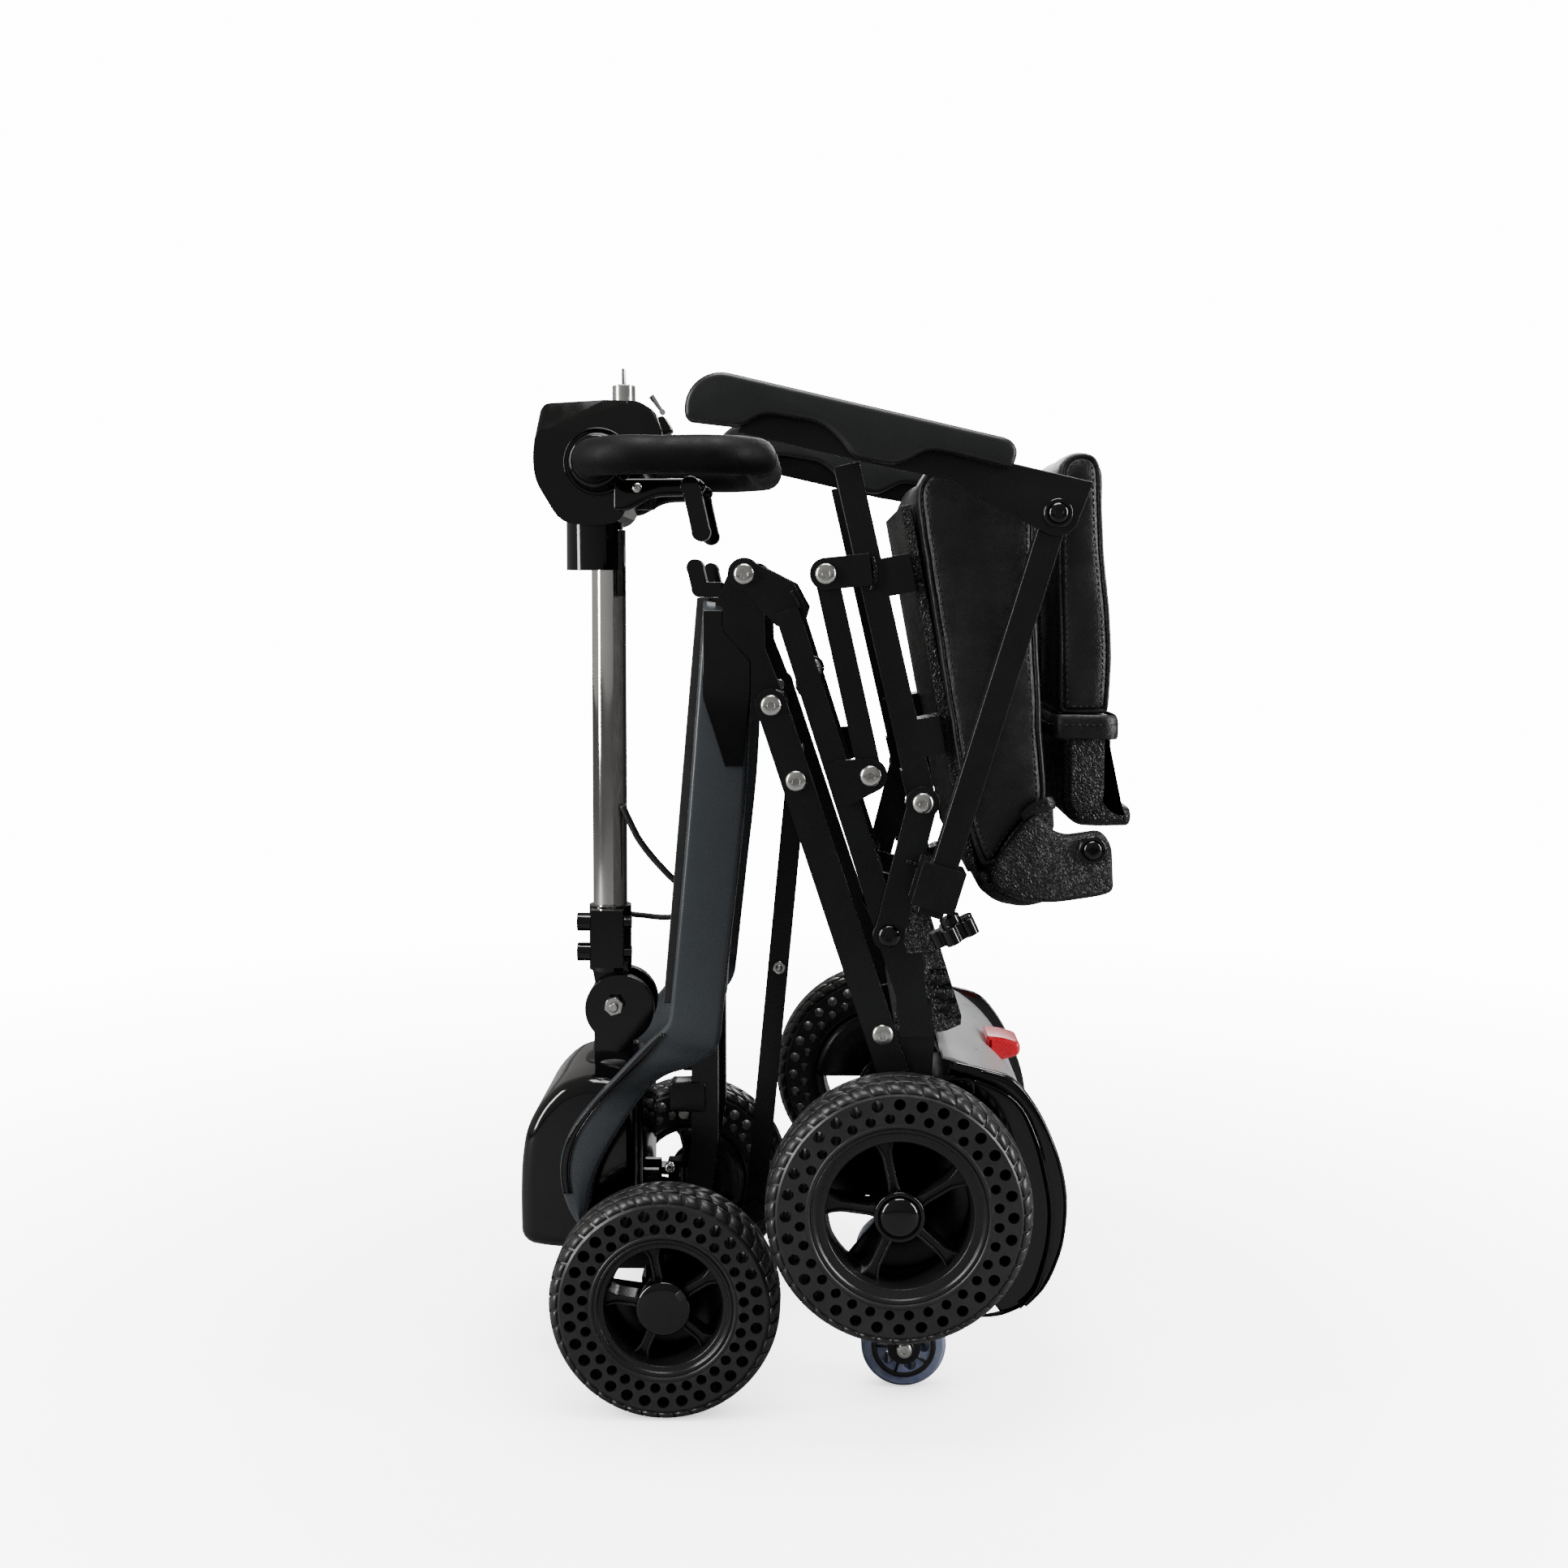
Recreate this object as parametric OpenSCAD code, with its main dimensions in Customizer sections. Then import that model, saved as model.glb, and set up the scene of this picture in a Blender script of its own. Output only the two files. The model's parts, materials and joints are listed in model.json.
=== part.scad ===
// Folding four-wheel mobility scooter, standing folded on its front wheels and its trolley wheels.
// X runs from the tiller to the tail, Y from the rider's left to the rider's right, Z up.
// Every outline is drawn in the X-Z plane and given its place across the width.

/* [Wheels] */
// Radius of the front tyres
front_r = 91; // [86:0.5:92]
// Width of the front tyres
front_w = 44; // [36:1:44]
// Radius of the rear tyres
rear_r = 101.5; // [96:0.5:103]
// Width of the rear tyres
rear_w = 48; // [38:1:48]
// Radius of the trolley wheels
trolley_r = 35; // [30:1:35]
// Number of holes in each ring of a tyre wall
tyre_holes = 32; // [24:1:34]

/* [Frame] */
// Half of the width over the deck covers
deck_half = 150; // [148:0.5:150]
// Depth of the main beams across their length
beam_w = 19; // [16:1:20]
// Depth of the lower links
link_w = 24; // [20:1:25]
// Depth of the seat tubes
seat_tube_w = 20; // [16:1:22]
// Depth of the armrest posts
post_w = 20; // [16:1:22]

/* [Tiller] */
// Radius of the telescopic column
column_r = 15; // [13:0.5:16]
// Radius of the padded handlebar
grip_r = 15; // [12:0.5:16]
// Half of the width of the handlebar, to the centre of its tube
bar_half = 140; // [120:1:145]

/* [Seat] */
// Half of the width of the seat cushion
seat_half = 178; // [160:1:178]
// Half of the width of the backrest
back_half = 165; // [150:1:168]

/* [Hidden] */
$fn = 48;

// Pivots in the X-Z plane
front_axle = [-112.4, front_r];
rear_axle = [71.2, 181.8];
trolley_axle = [80, trolley_r];
motor_axis = [118, 205];
deck_pivot = [-100, 94];
strut_pivot = [-46, 112];
beam_pivot = [-49, 668.5];
link_pivot = [-27.5, 566.5];
link_rod = [-8, 507.5];
link_end_bolt = [60, 308];
rocker_pivot = [64.5, 387];
seat_pivot = [90.5, 491];
strut_top = [15, 668.5];
strut_end = [50, 512];
arm_pivot = [188, 713.5];
back_pivot = [220.5, 456];
tilt_pivot = [-167, 296.7];
lever_pivot = [-97, 742];

// Layers across the width, from the middle outwards
rail_in = 55;
rail_out = 75;
arm_in = 82;
arm_out = 106;
cover_in = 128;
cover_out = deck_half - 1.5;
beam_in = deck_half + 1;
beam_out = beam_in + 20;
plate_in = beam_out + 0.4;
plate_out = plate_in + 6;
kingpin_y = 124;
front_in = 138;
rear_in = 181;
trolley_in = 91;
trolley_out = 115;
post_in = 192;
post_out = 210;

// Bolts, pins and their running clearance
pin_r = 5;
bolt_head_r = 8;
bolt_head_h = 1.5;
fit = 0.05;
end_swell = 0.8;
steel = "#2a2b2d";
satin = "#1b1c1e";
gloss = "#0b0b0c";
silver = "#c9cbcc";

// Steering and tiller
steer_x = -168;
column_x = -173;
shaft_r = 15;
bar_z = 763;
bar_front = -176;
bar_rear = -40;
bar_corner = 45;
key_pos = [-158, -10];
toggle_pivot = [-126.9, 810.8];
dial_pos = [-138, -30];
clamp_z = [343, 369];

// Front and rear edges of the deck's side covers
cover_left = [[-81.7, 647.6], [-87.7, 564.4], [-94.3, 480.6], [-101.7, 396.3], [-109.7, 312]];
cover_right = [[-68.3, 306.4], [-58.4, 396.4], [-49.3, 480.7], [-44.7, 564.4], [-40.8, 641.3]];

// Centre lines of the main beams, the lower links and the links' strut
beam_top = [-15.5, 640];
beam_low = [79, 341];
link_low = [68.5, 276.6];
cover_centre = [86, 180];

// Armrest posts, the knobs that clamp them, and the board under the seat
socket_low = [94, 408];
post_dir = (arm_pivot - socket_low) / norm(arm_pivot - socket_low);
knob_seat = [108.8, 406.9];
knob_turn = 155;
board_top = [77, 722];
board_low = [130, 436];
board_dir = (board_low - board_top) / norm(board_low - board_top);
board_normal = [board_dir[1], -board_dir[0]];

// Routes of the two cables from the tiller to the deck
tiller_cable = [[-156, -11, 458], [-147, -11, 440], [-136, -11, 425], [-126, -12, 414],
  [-117, -12, 405]];
battery_cable = [[-152, 3, 371], [-142, 3, 370], [-132, 2, 369], [-122, 1, 369],
  [-112.5, 0, 370]];

module both() {
  children();
  mirror([0, 1, 0]) children();
}
// side is -1 for the rider's left and 1 for the right
module on_side(side) {
  mirror([0, side < 0 ? 1 : 0, 0]) children();
}
module slab(y0, y1) {
  translate([0, y1, 0]) rotate([90, 0, 0]) linear_extrude(y1 - y0) children();
}
module rod_y(p, r, y0, y1) {
  translate([p[0], y0, p[1]]) rotate([-90, 0, 0]) cylinder(h = y1 - y0, r = r);
}
module square_bar(p, q, w) {
  d = q - p;
  translate(p) rotate(atan2(d[1], d[0])) translate([0, -w / 2]) square([norm(d), w]);
}
module round_bar(p, q, w) {
  square_bar(p, q, w);
  translate(p) circle(d = w + end_swell);
  translate(q) circle(d = w + end_swell);
}
module bolt_y(p, r, y0, y1) {
  rod_y(p, r, y0, y1);
  rod_y(p, bolt_head_r, y1, y1 + bolt_head_h);
}
function arc(c, r, a0, a1, n) = [for (i = [0:n]) c + r * [cos(a0 + (a1 - a0) * i / n),
  sin(a0 + (a1 - a0) * i / n)]];

// ---- Wheels ----
module tyre(centre, r, w, rim_r, y_in) {
  wall = r - rim_r;
  bead = 2;
  shoulder = 12;
  outer_ring = r - wall * 0.4377;
  inner_ring = rim_r + wall * 0.258;
  translate([centre[0], y_in, centre[1]]) rotate([-90, 0, 0]) difference() {
    rotate_extrude($fn = 96) polygon([[rim_r, bead], [rim_r + wall * 0.2, 0],
      [r - wall * 0.25, 0.5], [r - 3, 5], [r, shoulder], [r, w - shoulder], [r - 3, w - 5],
      [r - wall * 0.25, w - 0.5], [rim_r + wall * 0.2, w], [rim_r, w - bead]]);
    for (i = [0:tyre_holes - 1]) {
      rotate(i * 360 / tyre_holes) translate([outer_ring, 0, -1])
        cylinder(h = w + 2, r = wall * 0.13, $fn = 16);
      rotate((i + 0.5) * 360 / tyre_holes) translate([inner_ring, 0, -1])
        cylinder(h = w + 2, r = wall * 0.113, $fn = 16);
    }
  }
}
// A five-spoke rim with twin ribs, bored for its axle, with a cap over the outer end
module rim(centre, rim_r, w, y_in, bore, cap_r) {
  spokes = 5;
  first_spoke = -102;
  rib = 4;
  rib_gap = 9;
  barrel = 7;
  translate([centre[0], y_in, centre[1]]) rotate([-90, 0, 0]) {
    difference() {
      union() {
        rotate_extrude($fn = 96) polygon([[rim_r - barrel, 2], [rim_r, 2], [rim_r, w - 2],
          [rim_r - barrel, w - 2]]);
        translate([0, 0, 4]) cylinder(h = w - 10, r = cap_r - 2);
        for (i = [0:spokes - 1], s = [-1, 1]) rotate(first_spoke - i * 360 / spokes)
          translate([cap_r - 6, (s * rib_gap - rib) / 2, 8]) cube([rim_r - cap_r, rib, w - 16]);
      }
      translate([0, 0, -1]) cylinder(h = w - 11, r = bore);
    }
    translate([0, 0, w - 6]) cylinder(h = 6, r = cap_r);
  }
}
module front_tyre() {
  color(satin) tyre(front_axle, front_r, front_w, 54.5, front_in);
}
module front_rim() {
  color(gloss) rim(front_axle, 54.5, front_w, front_in, 6 + fit, 21.5);
}
module rear_tyre() {
  color(satin) tyre(rear_axle, rear_r, rear_w, 67, rear_in);
}
module rear_rim() {
  color(gloss) rim(rear_axle, 67, rear_w, rear_in, 8 + fit, 19.3);
}
module trolley_wheel() {
  w = trolley_out - trolley_in;
  translate([trolley_axle[0], trolley_in, trolley_axle[1]]) rotate([-90, 0, 0]) {
    color("#6f86b5") rotate_extrude($fn = 72) polygon([[trolley_r - 9, 1], [trolley_r - 3, 1],
      [trolley_r, 5], [trolley_r, w - 5], [trolley_r - 3, w - 1], [trolley_r - 9, w - 1]]);
    color(gloss) difference() {
      cylinder(h = w, r = trolley_r - 9);
      translate([0, 0, -1]) cylinder(h = w + 2, r = 4 + fit);
      for (i = [0:4]) rotate(i * 72) translate([16, 0, -1]) cylinder(h = w + 2, r = 5);
    }
  }
}

// ---- Front frame ----
module front_axle_frame() {
  head_z = 92;
  head_h = 112;
  color(steel) difference() {
    union() {
      translate([-136, -kingpin_y + 13, 66]) cube([20, 2 * kingpin_y - 26, 24]);
      translate([steer_x, 0, head_z]) cylinder(h = head_h, r = 22);
      both() {
        translate([steer_x, 12, 70]) cube([-130 - steer_x, 6, 80]);
        slab(43, rail_in - 0.4) {
          translate(deck_pivot) circle(r = 13);
          square_bar([-126, 78], deck_pivot, 20);
        }
        slab(11, 16) {
          round_bar(strut_pivot, [-90, 80], 18);
          square_bar([-90, 80], [-126, 78], 18);
        }
        for (z = [58, 112]) {
          translate([front_axle[0], kingpin_y, z]) cylinder(h = 6, r = 11);
          translate([front_axle[0] - 20, kingpin_y - 16, z]) cube([20, 16, 6]);
        }
        translate([-132, kingpin_y - 16, 58]) cube([10, 8, 60]);
        translate([front_axle[0], kingpin_y, 60]) cylinder(h = 56, r = 5);
        rod_y(deck_pivot, pin_r, 43, rail_out + 2);
      }
      rod_y(strut_pivot, pin_r, -16, 16);
      translate([-170, -18, 62]) cube([40, 36, 8]);
    }
    translate([steer_x, 0, 60]) cylinder(h = 160, r = shaft_r + fit);
  }
}
module shroud_outline(t) {
  polygon(concat([[-138, 93 - t], [-244 + t, 93 - t], [-244 + t, 180]],
    arc([-186, 180], 58 - t, 180, 90, 12), [[-138, 238 - t]]));
}
module front_shroud() {
  wall = 3;
  color(gloss) difference() {
    slab(-76, 76) shroud_outline(0);
    slab(-76 + wall, 76 - wall) shroud_outline(wall);
    translate([steer_x, 0, 150]) cylinder(h = 100, r = 21);
  }
}
module knuckle() {
  color(steel) difference() {
    union() {
      translate([front_axle[0], kingpin_y, 64.4]) cylinder(h = 47.2, r = 10);
      rod_y(front_axle, 6, kingpin_y, front_in + front_w - 13);
      rod_y(front_axle, 10, kingpin_y, front_in + 3.6);
      translate([front_axle[0], kingpin_y - 9, 64.4]) cube([34, 9, 8]);
      translate([-76, kingpin_y - 6, 64.4]) cylinder(h = 8, r = 8);
    }
    translate([front_axle[0], kingpin_y, 50]) cylinder(h = 80, r = 5 + fit);
  }
}
module tie_rod() {
  reach = kingpin_y - 6;
  color(silver) {
    translate([-76, -reach, 58]) rotate([-90, 0, 0]) cylinder(h = 2 * reach, r = 4);
    both() translate([-76, reach, 52]) cylinder(h = 12, r = 7);
  }
}

// ---- Tiller ----
module steering_shaft() {
  color(steel) difference() {
    union() {
      translate([steer_x, 0, 94]) cylinder(h = 120, r = shaft_r);
      translate([steer_x, 0, 206]) cylinder(h = 44, r = 16);
      slab(-24, 24) square_bar([steer_x, 244], [steer_x, 266], 34);
      both() slab(14, 24) {
        translate([-163, 293]) circle(r = 30);
        square_bar([steer_x, 250], [steer_x, 290], 34);
      }
    }
    rod_y(tilt_pivot, 6 + fit, -30, 30);
    slab(-14, 14) translate([-163, 293]) circle(r = 31);
  }
}
module tilt_housing() {
  color(gloss) difference() {
    union() {
      slab(-13.7, 13.7) {
        translate(tilt_pivot) circle(r = 22);
        square_bar(tilt_pivot, [column_x, 330], 30);
      }
      translate([column_x, 0, 324]) cylinder(h = 57, r = 18.5);
      translate([column_x - 14, -29, 330]) cube([28, 16, 50]);
    }
    translate([column_x, 0, 328]) cylinder(h = 60, r = column_r + fit);
    rod_y(tilt_pivot, 6, -30, 30);
    for (z = clamp_z) translate([column_x - 20, -22, z]) rotate([0, 90, 0])
      cylinder(h = 60, r = 3);
  }
}
module column_bolts() {
  color(silver) {
    rod_y(tilt_pivot, 6, -25, 25);
    both() translate([tilt_pivot[0], 25, tilt_pivot[1]]) rotate([-90, 0, 0])
      cylinder(h = 6, r = 9, $fn = 6);
  }
  for (z = clamp_z) translate([column_x - 14, -22, z]) rotate([0, 90, 0]) {
    color(silver) cylinder(h = 28, r = 3);
    color(gloss) translate([0, 0, -12]) cylinder(h = 12, r = 8);
    color(gloss) translate([0, 0, 28]) cylinder(h = 7, r = 5.5, $fn = 6);
  }
}
module column_tube() {
  color(silver) translate([column_x, 0, 332]) cylinder(h = 376, r = column_r);
}
module column_collar() {
  color(gloss) difference() {
    translate([-185, 0, 673]) cylinder(h = 42, r = 24.5);
    translate([column_x, 0, 660]) cylinder(h = 48, r = column_r);
  }
}
module head_housing() {
  color(gloss) difference() {
    union() {
      hull() {
        slab(-52, 52) polygon([[-230, 764], [-227, 748], [-206, 722], [-155, 722], [-148, 736],
          [-136, 760], [-134, 784], [-224, 790]]);
        slab(-40, 40) polygon([[-220, 808], [-208, 715], [-158, 715], [-122, 786], [-130, 806],
          [-142, 815], [-168, 816]]);
      }
      both() {
        translate([bar_front, 50, bar_z]) rotate([-90, 0, 0]) cylinder(h = 26, r = 21);
        translate([-160, 44, 735]) cube([72, 16.6, 14]);
      }
      translate([dial_pos[0], dial_pos[1], 737.2]) cylinder(h = 28, r = 9.5);
      translate([-133, 12, 802]) rotate([0, 35, 0]) cylinder(h = 8, r = 5);
    }
    both() {
      rod_y([bar_front, bar_z], grip_r, 60, 90);
      rod_y(lever_pivot, 4 + fit, 40, 80);
    }
  }
}
module bar_quarter(cx, cy, a) {
  translate([cx, cy, bar_z]) rotate(a) rotate_extrude(angle = 90)
    translate([bar_corner, 0]) circle(r = grip_r);
}
module handlebar() {
  color(satin) {
    both() {
      rod_y([bar_front, bar_z], grip_r, 60, bar_half - bar_corner);
      bar_quarter(bar_front + bar_corner, bar_half - bar_corner, 90);
      bar_quarter(bar_rear - bar_corner, bar_half - bar_corner, 0);
      translate([bar_front + bar_corner, bar_half, bar_z]) rotate([0, 90, 0])
        cylinder(h = bar_rear - bar_front - 2 * bar_corner, r = grip_r);
    }
    rod_y([bar_rear, bar_z], grip_r, -bar_half + bar_corner, bar_half - bar_corner);
  }
}
module key_switch() {
  color(silver) {
    difference() {
      translate([key_pos[0], key_pos[1], 815]) cylinder(h = 16, r = 10);
      translate([key_pos[0], key_pos[1], 820]) cylinder(h = 20, r = 5 + fit);
    }
  }
}
module ignition_key() {
  color(silver) {
    translate([key_pos[0], key_pos[1], 820.2]) cylinder(h = 12, r = 5);
    translate([key_pos[0] - 1.2, key_pos[1] - 8, 832]) cube([2.4, 16, 13]);
  }
}
module toggle_lever() {
  boss = 2.6;
  color(silver) {
    rod_y(toggle_pivot, boss, 12 - boss, 12 + boss);
    translate([toggle_pivot[0], 12, toggle_pivot[1]]) rotate([0, -35, 0])
      cylinder(h = 17, r1 = 1.6, r2 = boss);
  }
}
module throttle_lever() {
  color(gloss) slab(61, 76) {
    translate(lever_pivot) circle(r = 8);
    round_bar([-95, 736], [-88, 704], 15);
  }
  color(silver) rod_y(lever_pivot, 4, 48, 61);
}
module speed_dial() {
  color(satin) translate([dial_pos[0], dial_pos[1], 724]) cylinder(h = 13, r = 8.5);
}

// ---- Deck ----
// The parts of the deck's frame that the side covers are cut to fit around
module deck_end_plates() {
  slab(cover_in - 3, deck_half) {
    translate(beam_pivot) circle(r = 12.5);
    square_bar([-61, 640], beam_pivot, 24);
  }
  slab(deck_half - 9, deck_half) {
    translate(link_pivot) circle(r = 13);
    polygon([[-66, 652], [-34, 652], [-33, 610], [-20, 577], [-26, 553.6], [-44, 553.6],
      [-44, 600], [-66, 626]]);
  }
  translate([-76, 0, 626]) cube([26, deck_half - 9, 24]);
  translate([-104, rail_out - 1, 300]) cube([24, cover_in - rail_out + 1, 12]);
}
module deck_frame() {
  color(steel) difference() {
    union() {
      both() {
        slab(rail_in, rail_out) {
          square_bar([-64, 645], [-80, 395], 24);
          square_bar([-80, 396], [-86, 290], 24);
          square_bar([-86, 292], [-86, 190], 22);
          square_bar([-86, 192], deck_pivot, 22);
          translate([-86, 191]) circle(r = 11);
          translate(deck_pivot) circle(r = 13);
        }
        deck_end_plates();
      }
      translate([-84, -rail_in, 470]) cube([16, 2 * rail_in, 24]);
    }
    rod_y(deck_pivot, pin_r + fit, -rail_out - 5, rail_out + 5);
    both() {
      rod_y(beam_pivot, pin_r, 100, deck_half + 5);
      rod_y(link_pivot, pin_r, 100, deck_half + 5);
    }
  }
}
module deck_board() {
  color(satin) slab(-cover_in + 0.3, cover_in - 0.3)
    polygon([[-88, 650], [-94, 560], [-101, 480], [-108.5, 396], [-116, 322], [-104, 322],
      [-96.5, 396], [-89, 480], [-82, 560], [-77.6, 650]]);
}
module arm_outline() {
  polygon(concat([[-72.7, 291], [-66, 312], [-109.7, 312], [-117, 301.6], [-170, 236.4],
    [-194, 205.7]], arc([-181, 174], 23, 160, 200, 4), [[-194, 136.3], [-186, 136],
    [-172.3, 154.2], [-154, 178], [-136.4, 216.3], [-121, 250], [-96, 268]]));
}
module side_cover() {
  color("#232427") difference() {
    union() {
      slab(cover_in, cover_out) polygon(concat(cover_left, cover_right));
      slab(arm_in, arm_out) arm_outline();
      slab(arm_out, cover_out) polygon([[-109.7, 312], [-68.9, 312], [-67.5, 303], [-76, 292],
        [-112, 296], [-114, 304]]);
    }
    deck_end_plates();
  }
}
module deck_end_caps() {
  color(gloss) both() {
    difference() {
      slab(cover_out, deck_half) polygon([[-81.9, 640], [-66.4, 640], [-66.4, 625],
[-44.4, 599], [-44.4, 577], [-50.5, 516.2], [-64.7, 516.1], [-81.9, 570.8]]);
      rod_y(beam_pivot, 13, 100, 160);
    }
    slab(96, 122) {
      round_bar([-86, 657], [-90, 674], 13);
      square_bar([-68, 656.3], [-86, 656.3], 12);
    }
  }
}
module fold_pins() {
  color(silver) both() {
    bolt_y(beam_pivot, pin_r, 128, deck_half + 7);
    bolt_y(link_pivot, pin_r, deck_half - 12, beam_out + 0.3);
  }
}
module control_cables() {
  color(satin) {
    cable(tiller_cable, 3);
    cable(battery_cable, 2.5);
  }
}
// A tube swept along points that lie in a plane of nearly constant y
module cable(points, r, sides = 8) {
  n = len(points);
  ring = [for (i = [0:n - 1]) let (a = points[max(i - 1, 0)], b = points[min(i + 1, n - 1)],
    t = (b - a) / norm(b - a), u = cross([0, 1, 0], t) / norm(cross([0, 1, 0], t)),
    v = cross(t, u)) for (k = [0:sides - 1]) points[i]
    + r * (cos(k * 360 / sides) * u + sin(k * 360 / sides) * v)];
  sides_f = [for (i = [0:n - 2], k = [0:sides - 1]) let (k2 = (k + 1) % sides)
    [i * sides + k, i * sides + k2, (i + 1) * sides + k2, (i + 1) * sides + k]];
  polyhedron(points = ring, faces = concat(sides_f, [[for (k = [sides - 1:-1:0]) k]],
    [[for (k = [0:sides - 1]) (n - 1) * sides + k]]), convexity = 4);
}

// ---- Fold links ----
module lower_links() {
  color(satin) both() difference() {
    slab(beam_in, beam_out) {
      translate(link_pivot) circle(d = link_w + end_swell);
      square_bar(link_pivot, link_low, link_w);
    }
    rod_y(link_pivot, pin_r + fit, 140, 180);
  }
  color(steel) rod_y(link_rod, 4, -beam_in, beam_in);
  color(silver) both() for (p = [link_rod, link_end_bolt])
    rod_y(p, bolt_head_r, beam_out, beam_out + bolt_head_h);
}
module fold_strut() {
  top = [-9.5, 497];
  color(satin) difference() {
    slab(-10.6, 10.6) {
      translate(strut_pivot) circle(r = 11);
      square_bar(strut_pivot, top, 18);
    }
    rod_y(strut_pivot, pin_r + fit, -20, 20);
    rod_y(link_rod, 6, -20, 20);
  }
}

// ---- Rear frame ----
module main_beams() {
  color(satin) difference() {
    union() {
      both() {
        slab(beam_in, beam_out) {
          square_bar(beam_top, beam_low, beam_w);
          square_bar([79, 372], [84, 320], 24);
          translate([73, 306]) square([26, 26]);
        }
        slab(beam_in, beam_in + 6) {
          translate(beam_pivot) circle(r = 13);
          polygon([[-49, 681.5], [-10.6, 662], [1.4, 640], [-4, 622], [-24, 628], [-49, 655.5]]);
        }
        slab(beam_out - 0.6, plate_in + 4) {
          translate(strut_end) circle(r = 13);
          polygon([[16, 520], [24, 490], [32, 488], [56, 500.5], [50, 525], [26, 524]]);
        }
        slab(beam_in + 4, beam_out - 2) square_bar([84, 310], [76, 176], 34);
      }
      rod_y([3, 582], 9, -beam_in, beam_in);
      rod_y([56.5, 412], 9, -beam_in, beam_in);
      both() slab(60, 66) polygon([[50, 408], [58, 421], [92, 412], [92, 398.2], [78, 397.6]]);
      both() bolt_y(rocker_pivot, pin_r, beam_in, plate_out + 0.3);
      both() rod_y(strut_end, bolt_head_r, plate_in, plate_in + 4 + bolt_head_h);
    }
    both() {
      rod_y(beam_pivot, pin_r + fit, 140, 170);
      rod_y(rear_axle, 20, 140, 175);
      slab(beam_in - 1, beam_out + 1) square_bar(link_pivot, link_low + [1, -3], link_w + 1);
    }
  }
}
module rear_axle_housing() {
  color(steel) difference() {
    union() {
      rod_y(rear_axle, 20, -beam_out + 1, beam_out - 1);
      both() rod_y(rear_axle, 8, beam_out - 2, rear_in + rear_w - 13);
      both() slab(60, 66) square_bar(rear_axle, motor_axis, 40);
    }
    rod_y(motor_axis, 28, -70, 70);
  }
}
module drive_motor() {
  color(steel) {
    rod_y(motor_axis, 28, -70, 70);
    rod_y(motor_axis, 30, -50, 50);
  }
}
module battery_box() {
  color(satin) difference() {
    slab(-108, 108) polygon([[74, 397], [99, 398], [126.7, 308], [126, 301], [114.8, 296],
      [86, 290], [72, 300]]);
    both() for (i = [0:3]) translate([99 + i * 4.5, 106, 342 - i * 12]) cube([14, 4, 5]);
  }
}
module rear_cover() {
  outer = 108;
  wall = 3;
  color("#8b8d8f") difference() {
    slab(-beam_in + 4, beam_in - 4) polygon(concat(arc(cover_centre, outer, 78, -62, 28),
      arc(cover_centre, outer - wall, -62, 78, 28)));
    translate([155, -16, 246]) cube([14, 32, 12]);
  }
}
module cover_flange() {
  color(gloss) both() slab(beam_in - 4, beam_in + 4) {
    polygon(concat(arc(cover_centre, 112, 66, 4, 10), [[207, 152], [206, 131], [198.4, 116],
      [172.8, 91.3], [150, 78]], arc(cover_centre, 100, -56, 62, 16)));
    square_bar([84, 262], [134, 262], 14);
    square_bar([76, 150], [160, 112], 14);
  }
}
module tail_reflector() {
  color("#e3202c") translate([166, -22, 252]) {
    translate([6, 0, -8]) cube([6, 44, 16]);
    translate([12, 0, 0]) rotate([-90, 0, 0]) cylinder(h = 44, r = 8);
    translate([-10, 6, -6]) cube([18, 32, 12]);
  }
}
module trolley_forks() {
  color(steel) both() {
    for (y = [trolley_in - 5, trolley_out + 1]) slab(y, y + 4) {
      round_bar(trolley_axle, [80, 60], 26);
      difference() {
        square_bar([80, 60], [73, 176], 30);
        translate(rear_axle) circle(r = 20);
      }
    }
    translate([64, trolley_in - 5, 84]) cube([26, trolley_out - trolley_in + 10, 6]);
  }
  color(silver) both() {
    rod_y(trolley_axle, 4, trolley_in - 5, trolley_out + 5);
    rod_y(trolley_axle, 8, trolley_out + 5, trolley_out + 9);
  }
}

// ---- Seat supports ----
module seat_struts() {
  color(satin) both() difference() {
    slab(beam_in, beam_out - 2) round_bar(strut_top, strut_end, 18.6);
    rod_y(strut_top, pin_r + fit, 140, 180);
  }
}
module rocker_links() {
  color(satin) both() difference() {
    union() {
      slab(plate_in, plate_out) {
        translate(seat_pivot) circle(r = 13);
        translate(rocker_pivot) circle(r = 12.5);
        square_bar(rocker_pivot, seat_pivot, 23);
        square_bar([78, 440], [104, 420], 24);
      }
      slab(plate_out - 1, post_out + 4) square_bar(socket_low + 6 * post_dir,
        socket_low + 40 * post_dir, 34);
    }
    rod_y(rocker_pivot, pin_r + fit, 140, 190);
    rod_y(seat_pivot, pin_r + fit, 140, 190);
    slab(post_in, post_out) square_bar(socket_low, socket_low + 60 * post_dir, post_w);
  }
}
module armrest_posts() {
  color(satin) both() difference() {
    slab(post_in, post_out) {
      square_bar(socket_low, arm_pivot, post_w);
      translate(arm_pivot) circle(r = 13);
    }
    rod_y(arm_pivot, 6 + fit, 180, 220);
  }
}
module star_knob() {
  color(gloss) translate([knob_seat[0], 201, knob_seat[1]]) rotate([0, knob_turn, 0]) {
    cylinder(h = 6, r = 8);
    translate([0, 0, 6]) linear_extrude(13) {
      circle(r = 13);
      for (i = [0:4]) rotate(i * 72) translate([13.5, 0]) circle(r = 6);
    }
  }
}

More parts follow.
